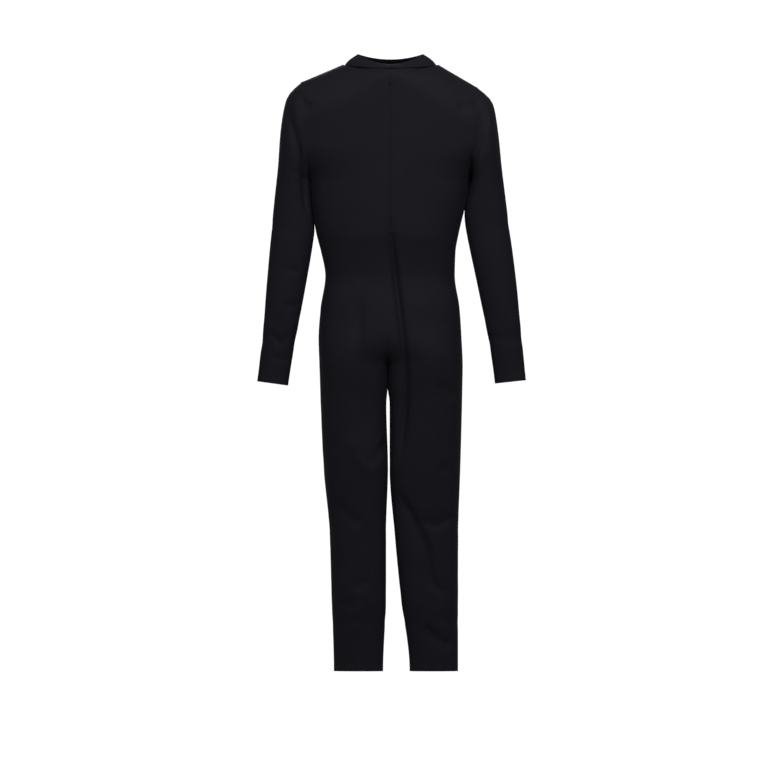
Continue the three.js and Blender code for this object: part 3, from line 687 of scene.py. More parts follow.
def joined(points, groups):
    """Joins coincident points and drops the faces that fold to nothing."""
    points, index = coincident(points, JOIN_CELL)
    return points, [without_repeats(index[quads]) for quads in groups]


CREASE_ANGLE = 0.8


def crisp_rims(mesh, first_rim):
    """Creases the edges where a sheet's thin rim meets its two sides."""
    sheet = bmesh.new()
    sheet.from_mesh(mesh)
    sheet.faces.ensure_lookup_table()
    crease = sheet.edges.layers.float.new("crease_edge")
    for face in sheet.faces[first_rim:]:
        for edge in face.edges:
            if len(edge.link_faces) == 2 and edge.calc_face_angle() > CREASE_ANGLE:
                edge.smooth = False
                edge[crease] = 1.0
    sheet.to_mesh(mesh)
    sheet.free()


def turn_outward(piece):
    """Winds a closed mesh so that its faces point out."""
    mesh = piece.data
    mesh.calc_loop_triangles()
    co = np.array([v.co for v in mesh.vertices])
    tri = np.array([t.vertices for t in mesh.loop_triangles])
    a, b, c = co[tri[:, 0]], co[tri[:, 1]], co[tri[:, 2]]
    if np.einsum("ij,ij->i", a, np.cross(b, c)).sum() < 0:
        mesh.flip_normals()


TUBE_SIDES = 5


def tube(path, radius):
    """Points and faces of a round tube along a path, with capped ends."""
    tangent = np.gradient(path, axis=0)
    tangent /= np.linalg.norm(tangent, axis=1, keepdims=True)
    guide = np.where(np.abs(tangent[:, 2:]) < 0.9, [[0, 0, 1.0]], [[1.0, 0, 0]])
    side = np.cross(tangent, guide)
    side /= np.linalg.norm(side, axis=1, keepdims=True)
    up = np.cross(side, tangent)
    turn = 2 * np.pi * np.arange(TUBE_SIDES) / TUBE_SIDES
    ring = side[:, None] * np.cos(turn)[None, :, None] + up[:, None] * np.sin(turn)[None, :, None]
    points = (path[:, None] + radius * ring).reshape(-1, 3)
    rings = np.arange(len(points)).reshape(-1, TUBE_SIDES)
    around = np.hstack([rings, rings[:, :1]])
    return points, grid_quads(around).tolist() + [rings[0, ::-1].tolist(), rings[-1].tolist()]


def gather(parts):
    """Joins several (points, faces) into one."""
    points, faces, start = [], [], 0
    for part_points, part_faces in parts:
        points.append(part_points)
        faces += [[i + start for i in face] for face in part_faces]
        start += len(part_points)
    return np.concatenate(points), faces


STITCH_RISE = np.array([-1.2, 0.35, 0.6, 0.35, -1.2])  # in thread radii, from end to end


def stitches(line, normals, length, gap, radius):
    """A row of short thread stitches along a line of points: slim tubes whose ends dip into the cloth."""
    steps = np.linalg.norm(np.diff(line, axis=0), axis=1)
    run = np.concatenate([[0], np.cumsum(steps)])
    parts = []
    for start in np.arange(gap, run[-1] - length, length + gap):
        places = start + length * np.linspace(0, 1, len(STITCH_RISE))
        sink = radius * STITCH_RISE
        path = np.stack([np.interp(places, run, line[:, i]) for i in range(3)], axis=-1)
        out = np.stack([np.interp(places, run, normals[:, i]) for i in range(3)], axis=-1)
        parts.append(tube(path + out * sink[:, None], radius))
    return gather(parts)


# ---- Materials ----


def linear(hex_colour):
    """An sRGB hex colour as linear RGBA."""
    values = [int(hex_colour.lstrip("#")[i:i + 2], 16) / 255 for i in (0, 2, 4)]
    return [v / 12.92 if v <= 0.04045 else ((v + 0.055) / 1.055) ** 2.4 for v in values] + [1.0]


def add_node(tree, kind, inputs=(), links=(), **settings):
    """Adds a node: inputs set its sockets, links join a socket to (node, output), settings its fields."""
    node = tree.nodes.new(kind)
    for field, value in settings.items():
        setattr(node, field, value)
    for socket, value in dict(inputs).items():
        node.inputs[socket].default_value = value
    for socket, (source, output) in dict(links).items():
        tree.links.new(source.outputs[output], node.inputs[socket])
    return node


def surface(name, roughness, specular, sheen=0.0, sheen_roughness=0.5, ior=1.5):
    """A new material with its shader's even values set. Returns it, its tree and the shader."""
    material = bpy.data.materials.new(name)
    material.use_nodes = True
    tree = material.node_tree
    shader = tree.nodes["Principled BSDF"]
    shader.inputs["Roughness"].default_value = roughness
    shader.inputs["Specular IOR Level"].default_value = specular
    shader.inputs["Sheen Weight"].default_value = sheen
    shader.inputs["Sheen Roughness"].default_value = sheen_roughness
    shader.inputs["Metallic"].default_value = 0.0
    shader.inputs["IOR"].default_value = ior
    return material, tree, shader


def tint(tree, shader, base, shade, size_mm, coords):
    """Colour that drifts between two close shades over patches of a given size."""
    drift = add_node(
        tree, "ShaderNodeTexNoise", {"Scale": 1 / (size_mm * MM), "Detail": 3.0},
        {"Vector": (coords, "Object")},
    )
    mixed = add_node(
        tree, "ShaderNodeMix", {6: linear(base), 7: linear(shade)}, {"Factor": (drift, "Fac")},
        data_type="RGBA",
    )
    tree.links.new(mixed.outputs[2], shader.inputs["Base Color"])


NYLON_IOR = 1.53
CLOTH_PATCH = 60  # the colour's slow drift over the cloth, in millimetres
COURSE_PITCH = 0.7  # the courses' spacing as a share of the wales'
WAVE_BANDS = 3.18  # bands per unit of length that the wave texture draws at scale 1
WAVE_RISE = 0.25 * MM
FIBRE_PATCH = 3 * MM
FIBRE_SPREAD = 0.06


def knit_material(name, base, shade, wale_mm, relief, roughness, specular, sheen):
    """Knit or woven cloth: upright columns of loops or ribs (wales) crossed by finer courses."""
    material, tree, shader = surface(name, roughness, specular, sheen, 0.45, ior=NYLON_IOR)
    coords = add_node(tree, "ShaderNodeTexCoord")
    tint(tree, shader, base, shade, CLOTH_PATCH, coords)
    wales = add_node(
        tree, "ShaderNodeTexWave",
        {"Scale": 1 / (wale_mm * MM) / WAVE_BANDS, "Distortion": 0.6, "Detail": 1.0},
        {"Vector": (coords, "Object")}, bands_direction="X",
    )
    courses = add_node(
        tree, "ShaderNodeTexWave",
        {"Scale": 1 / (COURSE_PITCH * wale_mm * MM) / WAVE_BANDS, "Distortion": 0.8},
        {"Vector": (coords, "Object")}, bands_direction="Z",
    )
    loops = add_node(
        tree, "ShaderNodeMath", {}, {0: (wales, "Fac"), 1: (courses, "Fac")}, operation="MULTIPLY",
    )
    bump = add_node(
        tree, "ShaderNodeBump", {"Strength": relief, "Distance": WAVE_RISE}, {"Height": (loops, 0)},
    )
    uneven = add_node(
        tree, "ShaderNodeTexNoise", {"Scale": 1 / FIBRE_PATCH, "Detail": 2.0}, {"Vector": (coords, "Object")},
    )
    fibres = add_node(
        tree, "ShaderNodeMapRange", {3: roughness - FIBRE_SPREAD, 4: roughness + FIBRE_SPREAD},
        {0: (uneven, "Fac")},
    )
    tree.links.new(fibres.outputs[0], shader.inputs["Roughness"])
    tree.links.new(bump.outputs[0], shader.inputs["Normal"])
    return material


@functools.lru_cache(maxsize=None)
def finish(kind):
    """The material for each finish of the suit."""
    colours = bpy.context.scene.wetsuit_colours
    if kind == "knit":
        # nylon and elastane warp knit, dyed black and calendered: matt, with a faint soft sheen. Its wales,
        # about 0.5 mm apart, are drawn 1.4 mm apart so that they show
        return knit_material(
            "nylon_elastane_knit", colours.cloth, colours.cloth_shade, 1.4, 0.35, 0.7, 0.12, 0.02,
        )
    if kind == "lining":
        # brushed polyester jersey: napped, so it is duller than the face
        return knit_material(
            "brushed_polyester_jersey", colours.lining, colours.cloth, 1.8, 0.5, 0.9, 0.05, 0.03,
        )
    if kind == "thread":
        # bonded polyester thread, twisted: a slight gleam along the stitch
        material, tree, shader = surface("bonded_polyester_thread", 0.5, 0.3, 0.1)
        coords = add_node(tree, "ShaderNodeTexCoord")
        tint(tree, shader, colours.thread, colours.cloth, 2, coords)
        return material
    if kind == "tape":
        # woven polyester zip tape: fine upright ribs with no gloss
        return knit_material(
            "woven_polyester_tape", colours.cloth_shade, colours.cloth, 1.0, 0.6, 0.8, 0.15, 0.1,
        )
    if kind == "hook":
        # moulded nylon hooks and napped nylon loops: a dark, broken surface that scatters light
        material, tree, shader = surface("hook_and_loop_nylon", 0.95, 0.1, 0.4)
        coords = add_node(tree, "ShaderNodeTexCoord")
        tint(tree, shader, colours.thread, colours.cloth_shade, 4, coords)
        cells = add_node(
            tree, "ShaderNodeTexVoronoi", {"Scale": 1 / (1.6 * MM)}, {"Vector": (coords, "Object")},
        )
        bump = add_node(
            tree, "ShaderNodeBump", {"Strength": 1.0, "Distance": 0.8 * MM}, {"Height": (cells, "Distance")},
        )
        tree.links.new(bump.outputs[0], shader.inputs["Normal"])
        return material
    if kind == "coil":
        # extruded nylon monofilament coil: smooth, with a soft highlight
        material, tree, shader = surface("nylon_monofilament", 0.35, 0.5)
        coords = add_node(tree, "ShaderNodeTexCoord")
        tint(tree, shader, colours.coil, colours.cloth, 5, coords)
        return material
    if kind == "zinc":
        # die-cast zinc with black electrophoretic paint: even satin, rubbed a little on its edges
        material, tree, shader = surface("black_painted_zinc", 0.6, 0.1)
        coords = add_node(tree, "ShaderNodeTexCoord")
        edges = add_node(tree, "ShaderNodeNewGeometry")
        worn = add_node(
            tree, "ShaderNodeMapRange", {1: 0.52, 2: 0.6, 3: 0.0, 4: 0.6}, {0: (edges, "Pointiness")},
        )
        mixed = add_node(
            tree, "ShaderNodeMix", {6: linear(colours.metal), 7: linear(colours.metal_worn)},
            {"Factor": (worn, 0)}, data_type="RGBA",
        )
        tree.links.new(mixed.outputs[2], shader.inputs["Base Color"])
        grain = add_node(
            tree, "ShaderNodeTexNoise", {"Scale": 1 / (0.4 * MM)}, {"Vector": (coords, "Object")},
        )
        bump = add_node(
            tree, "ShaderNodeBump", {"Strength": 0.15, "Distance": 0.1 * MM}, {"Height": (grain, "Fac")},
        )
        tree.links.new(bump.outputs[0], shader.inputs["Normal"])
        return material
    if kind == "label":
        # woven polyester satin, blank: fine ribs and a silky gleam
        return knit_material(
            "woven_polyester_satin", colours.label, colours.lining, 0.9, 0.3, 0.4, 0.4, 0.0,
        )
    raise ValueError(f"no finish named {kind}")


# ---- Settings ----


class WetsuitSizes(bpy.types.PropertyGroup):
    """Sizes of the suit's cloth and trim."""

    fabric: bpy.props.FloatProperty(
        name="Fabric", description="Thickness of the cloth, in millimetres", default=1.5, min=0.3, max=7)
    hem: bpy.props.FloatProperty(
        name="Hem", description="Thickness of a folded hem, in millimetres", default=2.2, min=0.5, max=9)
    slit: bpy.props.FloatProperty(
        name="Zip slit", description="Half the gap between the zip's two edges, in millimetres",
        default=0.35, min=0.3, max=3)
    stitch: bpy.props.FloatProperty(
        name="Stitch", description="Length of one hem stitch, in millimetres", default=2.6, min=1, max=6)
    thread: bpy.props.FloatProperty(
        name="Thread", description="Radius of the thread, in millimetres", default=0.28, min=0.1, max=1)
    coil_pitch: bpy.props.FloatProperty(
        name="Coil pitch", description="Distance between the zip coil's turns, in millimetres",
        default=1.8, min=0.8, max=4)


class WetsuitColours(bpy.types.PropertyGroup):
    """sRGB colours of the suit's finishes."""

    cloth: bpy.props.StringProperty(name="Cloth", description="Face of the knit", default="#161519")
    cloth_shade: bpy.props.StringProperty(
        name="Cloth shade", description="Its darker patches", default="#131216")
    lining: bpy.props.StringProperty(name="Lining", description="Brushed inside", default="#121216")
    thread: bpy.props.StringProperty(name="Thread", description="Hem stitching", default="#0F0F12")
    coil: bpy.props.StringProperty(name="Coil", description="Zip coil", default="#1A1A1D")
    metal: bpy.props.StringProperty(name="Metal", description="Slider, pull and stops", default="#131217")
    metal_worn: bpy.props.StringProperty(
        name="Worn metal", description="Its rubbed edges", default="#1C1C20")
    label: bpy.props.StringProperty(name="Label", description="Blank care label", default="#2E2E33")
    stage: bpy.props.StringProperty(name="Stage", description="Floor and surroundings", default="#FFFFFF")


# ---- Pieces ----


def sizes():
    return bpy.context.scene.wetsuit_sizes


def ride(piece, body, slot, *nodes):
    """A piece that moves with one body. It takes the place of the nodes given, if any."""
    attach(piece, body)
    if nodes:
        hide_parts(*nodes)


def panel_above_hem(half, face):
    return [grid[HEM_ROWS:].copy() for grid in suit_form()[(half.name, face.name)]]


SLIT_OPENS_OVER = 12
SLIT_NARROWS_BY, SLIT_NARROWS_FROM, SLIT_NARROWS_OVER = 0.65, 1310, 30


def open_zip_edge(half, points):
    """Draws the centre edge of a back panel aside where the zip's slit is. It narrows near the neck."""
    height = points[:, 0, 2]
    narrowed = SLIT_NARROWS_BY * smooth((height - SLIT_NARROWS_FROM) / SLIT_NARROWS_OVER)
    opened = smooth((height - RIBS) / SLIT_OPENS_OVER) * (1 - narrowed)
    points[:, 0, 0] += half.side * sizes().slit * opened


def make_body():
    """Each quarter of the suit runs unbroken from neck or shoulder to ankle."""
    for half in HALVES:
        for face in FACES:
            points, normals, cut = panel_above_hem(half, face)
            if face is BACK:
                open_zip_edge(half, points)
            piece = cloth_piece(
                f"{face.name}_{half.name}", points, normals, sizes().fabric, finish("knit"),
                inside=finish("lining"))
            bend_at_hip(piece, half)
            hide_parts(f"{face.name}_{half.name}_panel", f"{face.name}_{half.name}_leg")


HIP_BLEND = 150.0
HIP_BLEND_LEAN = math.radians(22)


def bend_at_hip(piece, half):
    """Works out where a turn at the hip would start, from the crotch and higher up on the outside of the hip,
    but nothing uses it. The piece only has its placement baked into its mesh.
    """
    fork = np.array([half.side * float(half.inner(CROTCH)), 0, CROTCH])
    down = np.array([half.side * math.sin(HIP_BLEND_LEAN), 0, -math.cos(HIP_BLEND_LEAN)])
    tuple(to_frame(fork))
    tuple(to_frame(fork + HIP_BLEND * down))
    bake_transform(piece)


def make_sleeves():
    """Each sleeve is a cap and an arm in one run of cloth, which meet at a ring down the cap."""
    split_row = round(SPLIT * CAP_ROWS)
    for half in HALVES:
        points, normals, cut = suit_form()[(half.name, "sleeve")]
        spans = {"cap": slice(0, split_row + 1), "arm": slice(split_row, len(points) - HEM_ROWS)}
        for part, pull in zip(spans, sleeve_pulls(half)):
            piece = cloth_piece(
                f"{half.name}_sleeve_{part}", points[spans[part]], normals[spans[part]],
                sizes().fabric, finish("knit"), inside=finish("lining"), wrapped=True)
            length = 1 / np.linalg.norm(pull)
            x, z = underarm_point(half)
            far_x, far_z = underarm_point(half) + pull * length**2
            tuple(to_frame([half.side * x, 0, z]))
            tuple(to_frame([half.side * far_x, 0, far_z]))
            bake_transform(piece)
            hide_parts(f"{half.name}_sleeve")


CAP_BLEND = 36.0
UNDERARM_BLEND = 25.0


def sleeve_pulls(half):
    """How fast each piece takes up the arm's turn, per millimetre outwards and up. Both start from the
    armhole's line, and they agree along the ring between the pieces."""
    underarm = underarm_point(half)
    armhole = np.array([half.tip_x, half.tip_z]) - underarm
    armhole /= np.linalg.norm(armhole)
    cap = np.array([armhole[1], -armhole[0]]) / CAP_BLEND
    ring = outer_cap(half, SPLIT) - underarm
    ring /= np.linalg.norm(ring)
    down = np.array([ring[1], -ring[0]])
    return cap, (cap @ ring) * ring + down / UNDERARM_BLEND


def ankle_rings(half):
    """The rows of a leg's hem, back and front joined into rings, with their normals."""
    rings, ring_normals = [], []
    for face in FACES:
        points, normals, _ = suit_form()[(half.name, face.name)]
        rows = slice(0, HEM_ROWS + 1)
        order = slice(0, -1) if face is BACK else slice(-1, 0, -1)
        rings.append(points[rows, order])
        ring_normals.append(normals[rows, order])
    return np.hstack(rings), np.hstack(ring_normals)


def make_hems():
    """Folded hems at the ankles and cuffs, each with two rows of stitches."""
    for half in HALVES:
        points, normals = ankle_rings(half)
        add_hem(f"{half.name}_ankle_hem_cloth", f"{half.name}_leg", f"{half.name}_ankle_hem",
                points, normals)
        points, normals, _ = suit_form()[(half.name, "sleeve")]
        add_hem(f"{half.name}_cuff_hem_cloth", f"{half.name}_arm", f"{half.name}_cuff_hem",
                points[-HEM_ROWS - 1:], normals[-HEM_ROWS - 1:])


STITCH_ROWS = (0.72, 0.93)  # how far up the hem each row runs
STITCH_GAP = 0.9


def add_hem(name, body, node, points, normals):
    piece = cloth_piece(name, points, normals, sizes().hem, finish("knit"), wrapped=True)
    ride(piece, body, "binding", node)
    rows = []
    from_bottom = points if points[0, 0, 2] < points[-1, 0, 2] else points[::-1]
    out = normals if from_bottom is points else normals[::-1]
    for share in STITCH_ROWS:
        line = from_bottom[0] * (1 - share) + from_bottom[-1] * share
        rows.append(stitches(close(line), close(out[0]), sizes().stitch, STITCH_GAP, sizes().thread))
    ride(new_piece(f"{name}_stitching", *gather(rows), finish("thread")), body, "binding")


def close(line):
    return np.vstack([line, line[:1]])


# ---- Collar ----


def collar_points(angle, v):
    """The collar's outside: angle is 0 at the centre back, v runs from its base to its top edge."""
    across, along = np.abs(np.sin(angle)), np.cos(angle)
    on_left, on_back = np.sin(angle) < 0, along > 0
    depth = np.zeros_like(angle)
    neckline = np.zeros_like(angle)
    for half in HALVES:
        for face in FACES:
            here = (on_left == (half is LEFT)) & (on_back == (face is BACK))
            line = NECK - face.neck_drop * (1 - across**2)
            found = upper_depth(half, face, NECK_HALF_WIDTH * across, line)
            depth = np.where(here, face.side * np.maximum(found - COLLAR_TUCK * np.abs(along), 0), depth)
            neckline = np.where(here, line, neckline)
    top_depth = np.where(on_back, BACK.collar_depth, FRONT.collar_depth)
    dip = np.where(on_back, BACK.collar_dip, FRONT.collar_dip)
    base = np.stack([np.sin(angle) * (NECK_HALF_WIDTH - COLLAR_TUCK), depth, neckline + COLLAR_SEAT], -1)
    top = np.stack([
        np.sin(angle) * COLLAR_TOP_HALF_WIDTH, -along * top_depth, NECK + COLLAR_RISE - dip * along**2,
    ], -1)
    belly = COLLAR_BELLY * np.sin(np.pi * v)[..., None] * np.stack([np.sin(angle), -along, 0 * angle], -1)
    return base + (top - base) * v[..., None] + belly


ANGLE_STEP = 0.02


def collar_grid(low_angle, high_angle, low_v, high_v, columns, rows, offset):
    """A patch of the collar, sunk by offset below its outside. Returns its points and normals."""
    angle = np.linspace(low_angle, high_angle, columns)[None, :] + np.zeros((rows, 1))
    v = np.linspace(low_v, high_v, rows)[:, None] + np.zeros((1, columns))
    around = collar_points(angle + ANGLE_STEP, v) - collar_points(angle - ANGLE_STEP, v)
    up = collar_points(angle, np.ones_like(v)) - collar_points(angle, np.zeros_like(v))
    normals = np.cross(around, up)
    normals /= np.linalg.norm(normals, axis=-1, keepdims=True)
    return collar_points(angle, v) - normals * offset, normals


TURN = 2 * np.pi

# Each layer of the collar: its name, node, finish and slot; then its span of angle and of height, its
# columns and rows, how deep it lies and how thick it is.
COLLAR_LAYERS = [
    ("collar_band", "collar_outer", "knit", "knit",
     (0.003, TURN - 0.003), (0.0, 1.0), (140, 9), 0.0, 1.5),
    ("collar_lining_band", "collar_lining", "lining", "lining",
     (0.03, TURN - 0.03), (0.02, 0.95), (120, 8), 2.2, 1.6),
    ("collar_loop_strip", "collar_loop_patch", "hook", "fastener",
     (TURN - 0.42, TURN - 0.06), (0.25, 0.8), (20, 6), 5.4, 1.0),
    ("collar_hook_tab", "collar_tab", "hook", "fastener",
     (-0.33, 0.33), (0.2, 0.85), (26, 6), 7.4, 1.2),
]


def make_collar():
    """Outer band, lining, loop patch and closing tab, one inside the other."""
    for name, node, kind, slot, angles, heights, counts, depth, thickness in COLLAR_LAYERS:
        points, normals = collar_grid(*angles, *heights, *counts, depth)
        piece = cloth_piece(name, points, normals, thickness, finish(kind))
        ride(piece, "torso", slot, node)


# ---- Zip ----


def make_zip():
    for half in HALVES:
        make_tape(half, *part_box(f"zip_tape_{half.name}"))
        make_coil(half, *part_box(f"zip_coil_{half.name}"))
        trim_node(f"zip_top_stop_{half.name}")
    for node in ("zip_bottom_stop", "zip_slider", "zip_pull"):
        trim_node(node)


def box_grid(low, high, columns, rows):
    """The x and height of a grid of points over a box's face, in pattern millimetres."""
    x = np.linspace(low.x, high.x, columns) / MM
    z = np.linspace(low.z, high.z, rows) / MM + HANG_HEIGHT
    return np.meshgrid(x, z)


def facing(points, way):
    """Normals that all point back, -1, or front, 1."""
    return np.zeros_like(points) + [0, way, 0]


def make_tape(half, low, high):
    """Flat woven tape beside the coil."""
    x, z = box_grid(low, high, 7, 80)
    points = np.stack([x, np.full_like(x, low.y / MM), z], -1)
    piece = cloth_piece(f"zip_tape_{half.name}_woven", points, facing(points, -1), (high.y - low.y) / MM,
                        finish("tape"), levels=0)
    ride(piece, "torso", "tape", f"zip_tape_{half.name}")


COIL_WIRE = 0.32
POINTS_PER_TURN = 10


def make_coil(half, low, high):
    """One side's coil: a flattened helix of monofilament, half a pitch out of step with the other."""
    pitch = sizes().coil_pitch
    middle = (low + high) / 2 / MM
    reach = (high - low) / 2 / MM
    bottom, top = low.z / MM + COIL_WIRE, high.z / MM - COIL_WIRE
    turns = np.linspace(0, (top - bottom) / pitch, int((top - bottom) / pitch * POINTS_PER_TURN))
    turn = 2 * np.pi * turns + (np.pi if half is LEFT else 0)
    path = np.stack([
        middle[0] + (reach[0] - COIL_WIRE) * np.cos(turn),
        middle[1] + (reach[1] - COIL_WIRE) * np.sin(turn),
        bottom + turns * pitch + HANG_HEIGHT,
    ], -1)
    piece = new_piece(f"zip_coil_{half.name}_filament", *tube(path, COIL_WIRE), finish("coil"))
    turn_outward(piece)
    ride(piece, "torso", "coil", f"zip_coil_{half.name}")


CAST_EDGE = 0.25


def trim_node(name):
    """Gives a small metal CAD piece its painted finish and softened edges."""
    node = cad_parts[name]
    node.data.materials.clear()
    node.data.materials.append(finish("zinc"))
    bevel = node.modifiers.new("cast edges", "BEVEL")
    bevel.width = CAST_EDGE * MM
    bevel.segments = 2
    bevel.limit_method = "ANGLE"


FLAP_THICKNESS = 1.2
FLAP_RISES_OVER = 0.32  # the share of its width over which the flap leaves the cloth it is sewn to
FLAP_WAVE, FLAP_WAVE_PITCH, FLAP_WAVE_FROM = 0.5, 23, 0.7


def make_guard():
    """The soft flap behind the zip, sewn along its left edge, with a slight wave in its free edge."""
    low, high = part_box("zip_guard")
    x, z = box_grid(low, high, 15, 60)
    share = np.linspace(0, 1, 15)[None, :]
    sewn = -upper_depth(LEFT, BACK, np.full_like(z, -low.x / MM), z) + sizes().fabric + FLAP_THICKNESS
    flat = high.y / MM - FLAP_THICKNESS
    rise = smooth(share / FLAP_RISES_OVER)
    loose = rise * smooth((share - FLAP_WAVE_FROM) / (1 - FLAP_WAVE_FROM))
    y = sewn * (1 - rise) + flat * rise + FLAP_WAVE * np.sin(z / FLAP_WAVE_PITCH) * loose
    points = np.stack([x, y, z], -1)
    piece = cloth_piece("zip_guard_flap", points, facing(points, -1), FLAP_THICKNESS, finish("lining"))
    ride(piece, "torso", "lining", "zip_guard")


LABEL_THICKNESS = 0.5
LABEL_DEPTH = 2.1  # how far inside the pattern's surface the label hangs
LABEL_CURL, LABEL_CURL_LENGTH = 2.5, 40


def make_label():
    """A blank satin label sewn inside the front of the neck by its top edge."""
    low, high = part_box("care_label")
    x, z = box_grid(low, high, 16, 14)
    across = np.abs(x)
    inside = np.where(x < 0, upper_depth(LEFT, FRONT, across, z), upper_depth(RIGHT, FRONT, across, z))
    curl = LABEL_CURL * smooth((high.z / MM + HANG_HEIGHT - z) / LABEL_CURL_LENGTH)
    points = np.stack([x, inside - LABEL_DEPTH - curl, z], -1)
    piece = cloth_piece("care_label_satin", points, facing(points, 1), LABEL_THICKNESS, finish("label"))
    ride(piece, "torso", "label", "care_label")


# ---- Stage ----

FRAME_WIDTH = 1.786
CAMERA_DISTANCE = 24.0
VIEW_CENTRE = (-0.0247, 0.0, -0.7211)
FLOOR_DROP = 0.18
FLOOR_SIZE = 30
SEEN_WHITE = 1.05
FILL_LIGHT = 0.2
SENSOR_WIDTH = 36
LAMPS_AIM = Vector((0, 0, -0.45))
LAMPS = [
    # name, place, size, power, colour
    ("key", (1.2, -2.3, 1.55), 1.4, 59, "#E8E8FA"),
    ("fill_left", (-1.4, -2.3, 1.45), 1.4, 39, "#E8E8FA"),
    ("top", (0.2, -0.6, 1.9), 0.8, 4, "#F2F2FF"),
    ("behind", (-0.5, 3.4, 0.4), 1.8, 48, "#FFFFFF"),
]


def make_stage():
    """White surroundings, a white floor under the hanging suit, soft lamps and the camera."""
    scene = bpy.context.scene
    scene.view_settings.view_transform = "Standard"
    scene.view_settings.look = "None"
    world = bpy.data.worlds.new("white_studio")
    scene.world = world
    world.use_nodes = True
    tree = world.node_tree
    tree.nodes.clear()
    white = linear(scene.wetsuit_colours.stage)
    seen = add_node(tree, "ShaderNodeBackground", {"Color": white, "Strength": SEEN_WHITE})
    fill = add_node(tree, "ShaderNodeBackground", {"Color": white, "Strength": FILL_LIGHT})
    path = add_node(tree, "ShaderNodeLightPath")
    mixed = add_node(
        tree, "ShaderNodeMixShader", {}, {0: (path, "Is Camera Ray"), 1: (fill, 0), 2: (seen, 0)})
    add_node(tree, "ShaderNodeOutputWorld", {}, {"Surface": (mixed, 0)})

    bpy.ops.mesh.primitive_plane_add(size=FLOOR_SIZE, location=(0, 0, CAD_BOX[0].z - FLOOR_DROP))
    floor = bpy.context.object
    floor.name = "studio_floor"
    # matt emulsion paint: even, without shine, and plain white to the camera
    material, tree, shader = surface("matt_white_paint", 0.9, 0.2)
    shader.inputs["Base Color"].default_value = linear("#B0B0B0")
    glow = add_node(tree, "ShaderNodeEmission", {"Color": white, "Strength": SEEN_WHITE})
    path = add_node(tree, "ShaderNodeLightPath")
    lit = add_node(
        tree, "ShaderNodeMixShader", {}, {0: (path, "Is Camera Ray"), 1: (shader, 0), 2: (glow, 0)})
    tree.links.new(lit.outputs[0], tree.nodes["Material Output"].inputs["Surface"])
    floor.data.materials.append(material)

    for name, place, size, power, colour in LAMPS:
        lamp = bpy.data.lights.new(name, "AREA")
        lamp.shape = "DISK"
        lamp.size = size
        lamp.energy = power
        lamp.color = linear(colour)[:3]
        lamp_object = bpy.data.objects.new(name, lamp)
        lamp_object.location = place
        lamp_object.rotation_euler = (LAMPS_AIM - Vector(place)).to_track_quat("-Z", "Y").to_euler()
        scene.collection.objects.link(lamp_object)

    camera = bpy.data.cameras.new("camera")
    camera.sensor_width = SENSOR_WIDTH
    camera.lens = SENSOR_WIDTH * CAMERA_DISTANCE / FRAME_WIDTH
    camera_object = bpy.data.objects.new("camera", camera)
    camera_object.location = (VIEW_CENTRE[0], -CAMERA_DISTANCE, VIEW_CENTRE[2])
    camera_object.rotation_euler = (math.pi / 2, 0, 0)
    scene.collection.objects.link(camera_object)
    scene.camera = camera_object


# ---- Add-on ----


class WETSUIT_OT_stage(bpy.types.Operator):
    """Build the white studio, its lamps and the camera"""

    bl_idname = "wetsuit.stage"
    bl_label = "Stage"

    def execute(self, context):
        make_stage()
        return {"FINISHED"}


class WETSUIT_OT_body(bpy.types.Operator):
    """Build the four long panels of the body and legs"""

    bl_idname = "wetsuit.body"
    bl_label = "Body panels"

    def execute(self, context):
        make_body()
        return {"FINISHED"}


class WETSUIT_OT_sleeves(bpy.types.Operator):
    """Build both sleeves"""

    bl_idname = "wetsuit.sleeves"
    bl_label = "Sleeves"

    def execute(self, context):
        make_sleeves()
        return {"FINISHED"}


class WETSUIT_OT_hems(bpy.types.Operator):
    """Build the ankle and cuff hems with their stitching"""

    bl_idname = "wetsuit.hems"
    bl_label = "Hems"

    def execute(self, context):
        make_hems()
        return {"FINISHED"}


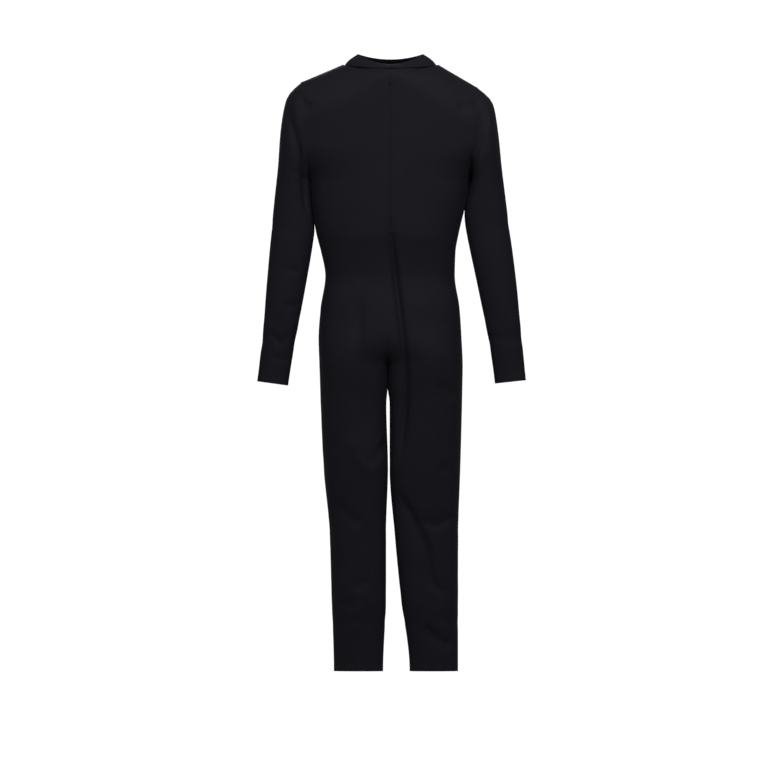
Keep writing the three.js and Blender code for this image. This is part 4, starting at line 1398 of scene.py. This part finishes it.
class WETSUIT_OT_collar(bpy.types.Operator):
    """Build the funnel collar, its lining and its closure"""

    bl_idname = "wetsuit.collar"
    bl_label = "Collar"

    def execute(self, context):
        make_collar()
        return {"FINISHED"}


class WETSUIT_OT_zip(bpy.types.Operator):
    """Build the zip's tapes and coils, and finish its metal parts"""

    bl_idname = "wetsuit.zip"
    bl_label = "Zip"

    def execute(self, context):
        make_zip()
        return {"FINISHED"}


class WETSUIT_OT_inside(bpy.types.Operator):
    """Build the guard flap behind the zip and the blank care label"""

    bl_idname = "wetsuit.inside"
    bl_label = "Guard and label"

    def execute(self, context):
        make_guard()
        make_label()
        return {"FINISHED"}


class WETSUIT_PT_sidebar(bpy.types.Panel):
    """Lists the suit's sizes, colours and pieces"""

    bl_label = "Full wetsuit"
    bl_idname = "WETSUIT_PT_sidebar"
    bl_space_type = "VIEW_3D"
    bl_region_type = "UI"
    bl_category = "Wetsuit"

    def draw(self, context):
        for group in (context.scene.wetsuit_sizes, context.scene.wetsuit_colours):
            for field in group.__annotations__:
                self.layout.prop(group, field)
        for operator in OPERATORS:
            self.layout.operator(operator.bl_idname)


OPERATORS = (
    WETSUIT_OT_stage, WETSUIT_OT_body, WETSUIT_OT_sleeves, WETSUIT_OT_hems,
    WETSUIT_OT_collar, WETSUIT_OT_zip, WETSUIT_OT_inside,
)
CLASSES = (WetsuitSizes, WetsuitColours, *OPERATORS, WETSUIT_PT_sidebar)


def register():
    for cls in CLASSES:
        bpy.utils.register_class(cls)
    bpy.types.Scene.wetsuit_sizes = bpy.props.PointerProperty(type=WetsuitSizes)
    bpy.types.Scene.wetsuit_colours = bpy.props.PointerProperty(type=WetsuitColours)


def unregister():
    del bpy.types.Scene.wetsuit_colours
    del bpy.types.Scene.wetsuit_sizes
    for cls in reversed(CLASSES):
        bpy.utils.unregister_class(cls)


def main():
    register()
    bpy.ops.wetsuit.stage()
    bpy.ops.wetsuit.body()
    bpy.ops.wetsuit.sleeves()
    bpy.ops.wetsuit.hems()
    bpy.ops.wetsuit.collar()
    bpy.ops.wetsuit.zip()
    bpy.ops.wetsuit.inside()


if __name__ == "__main__":
    main()
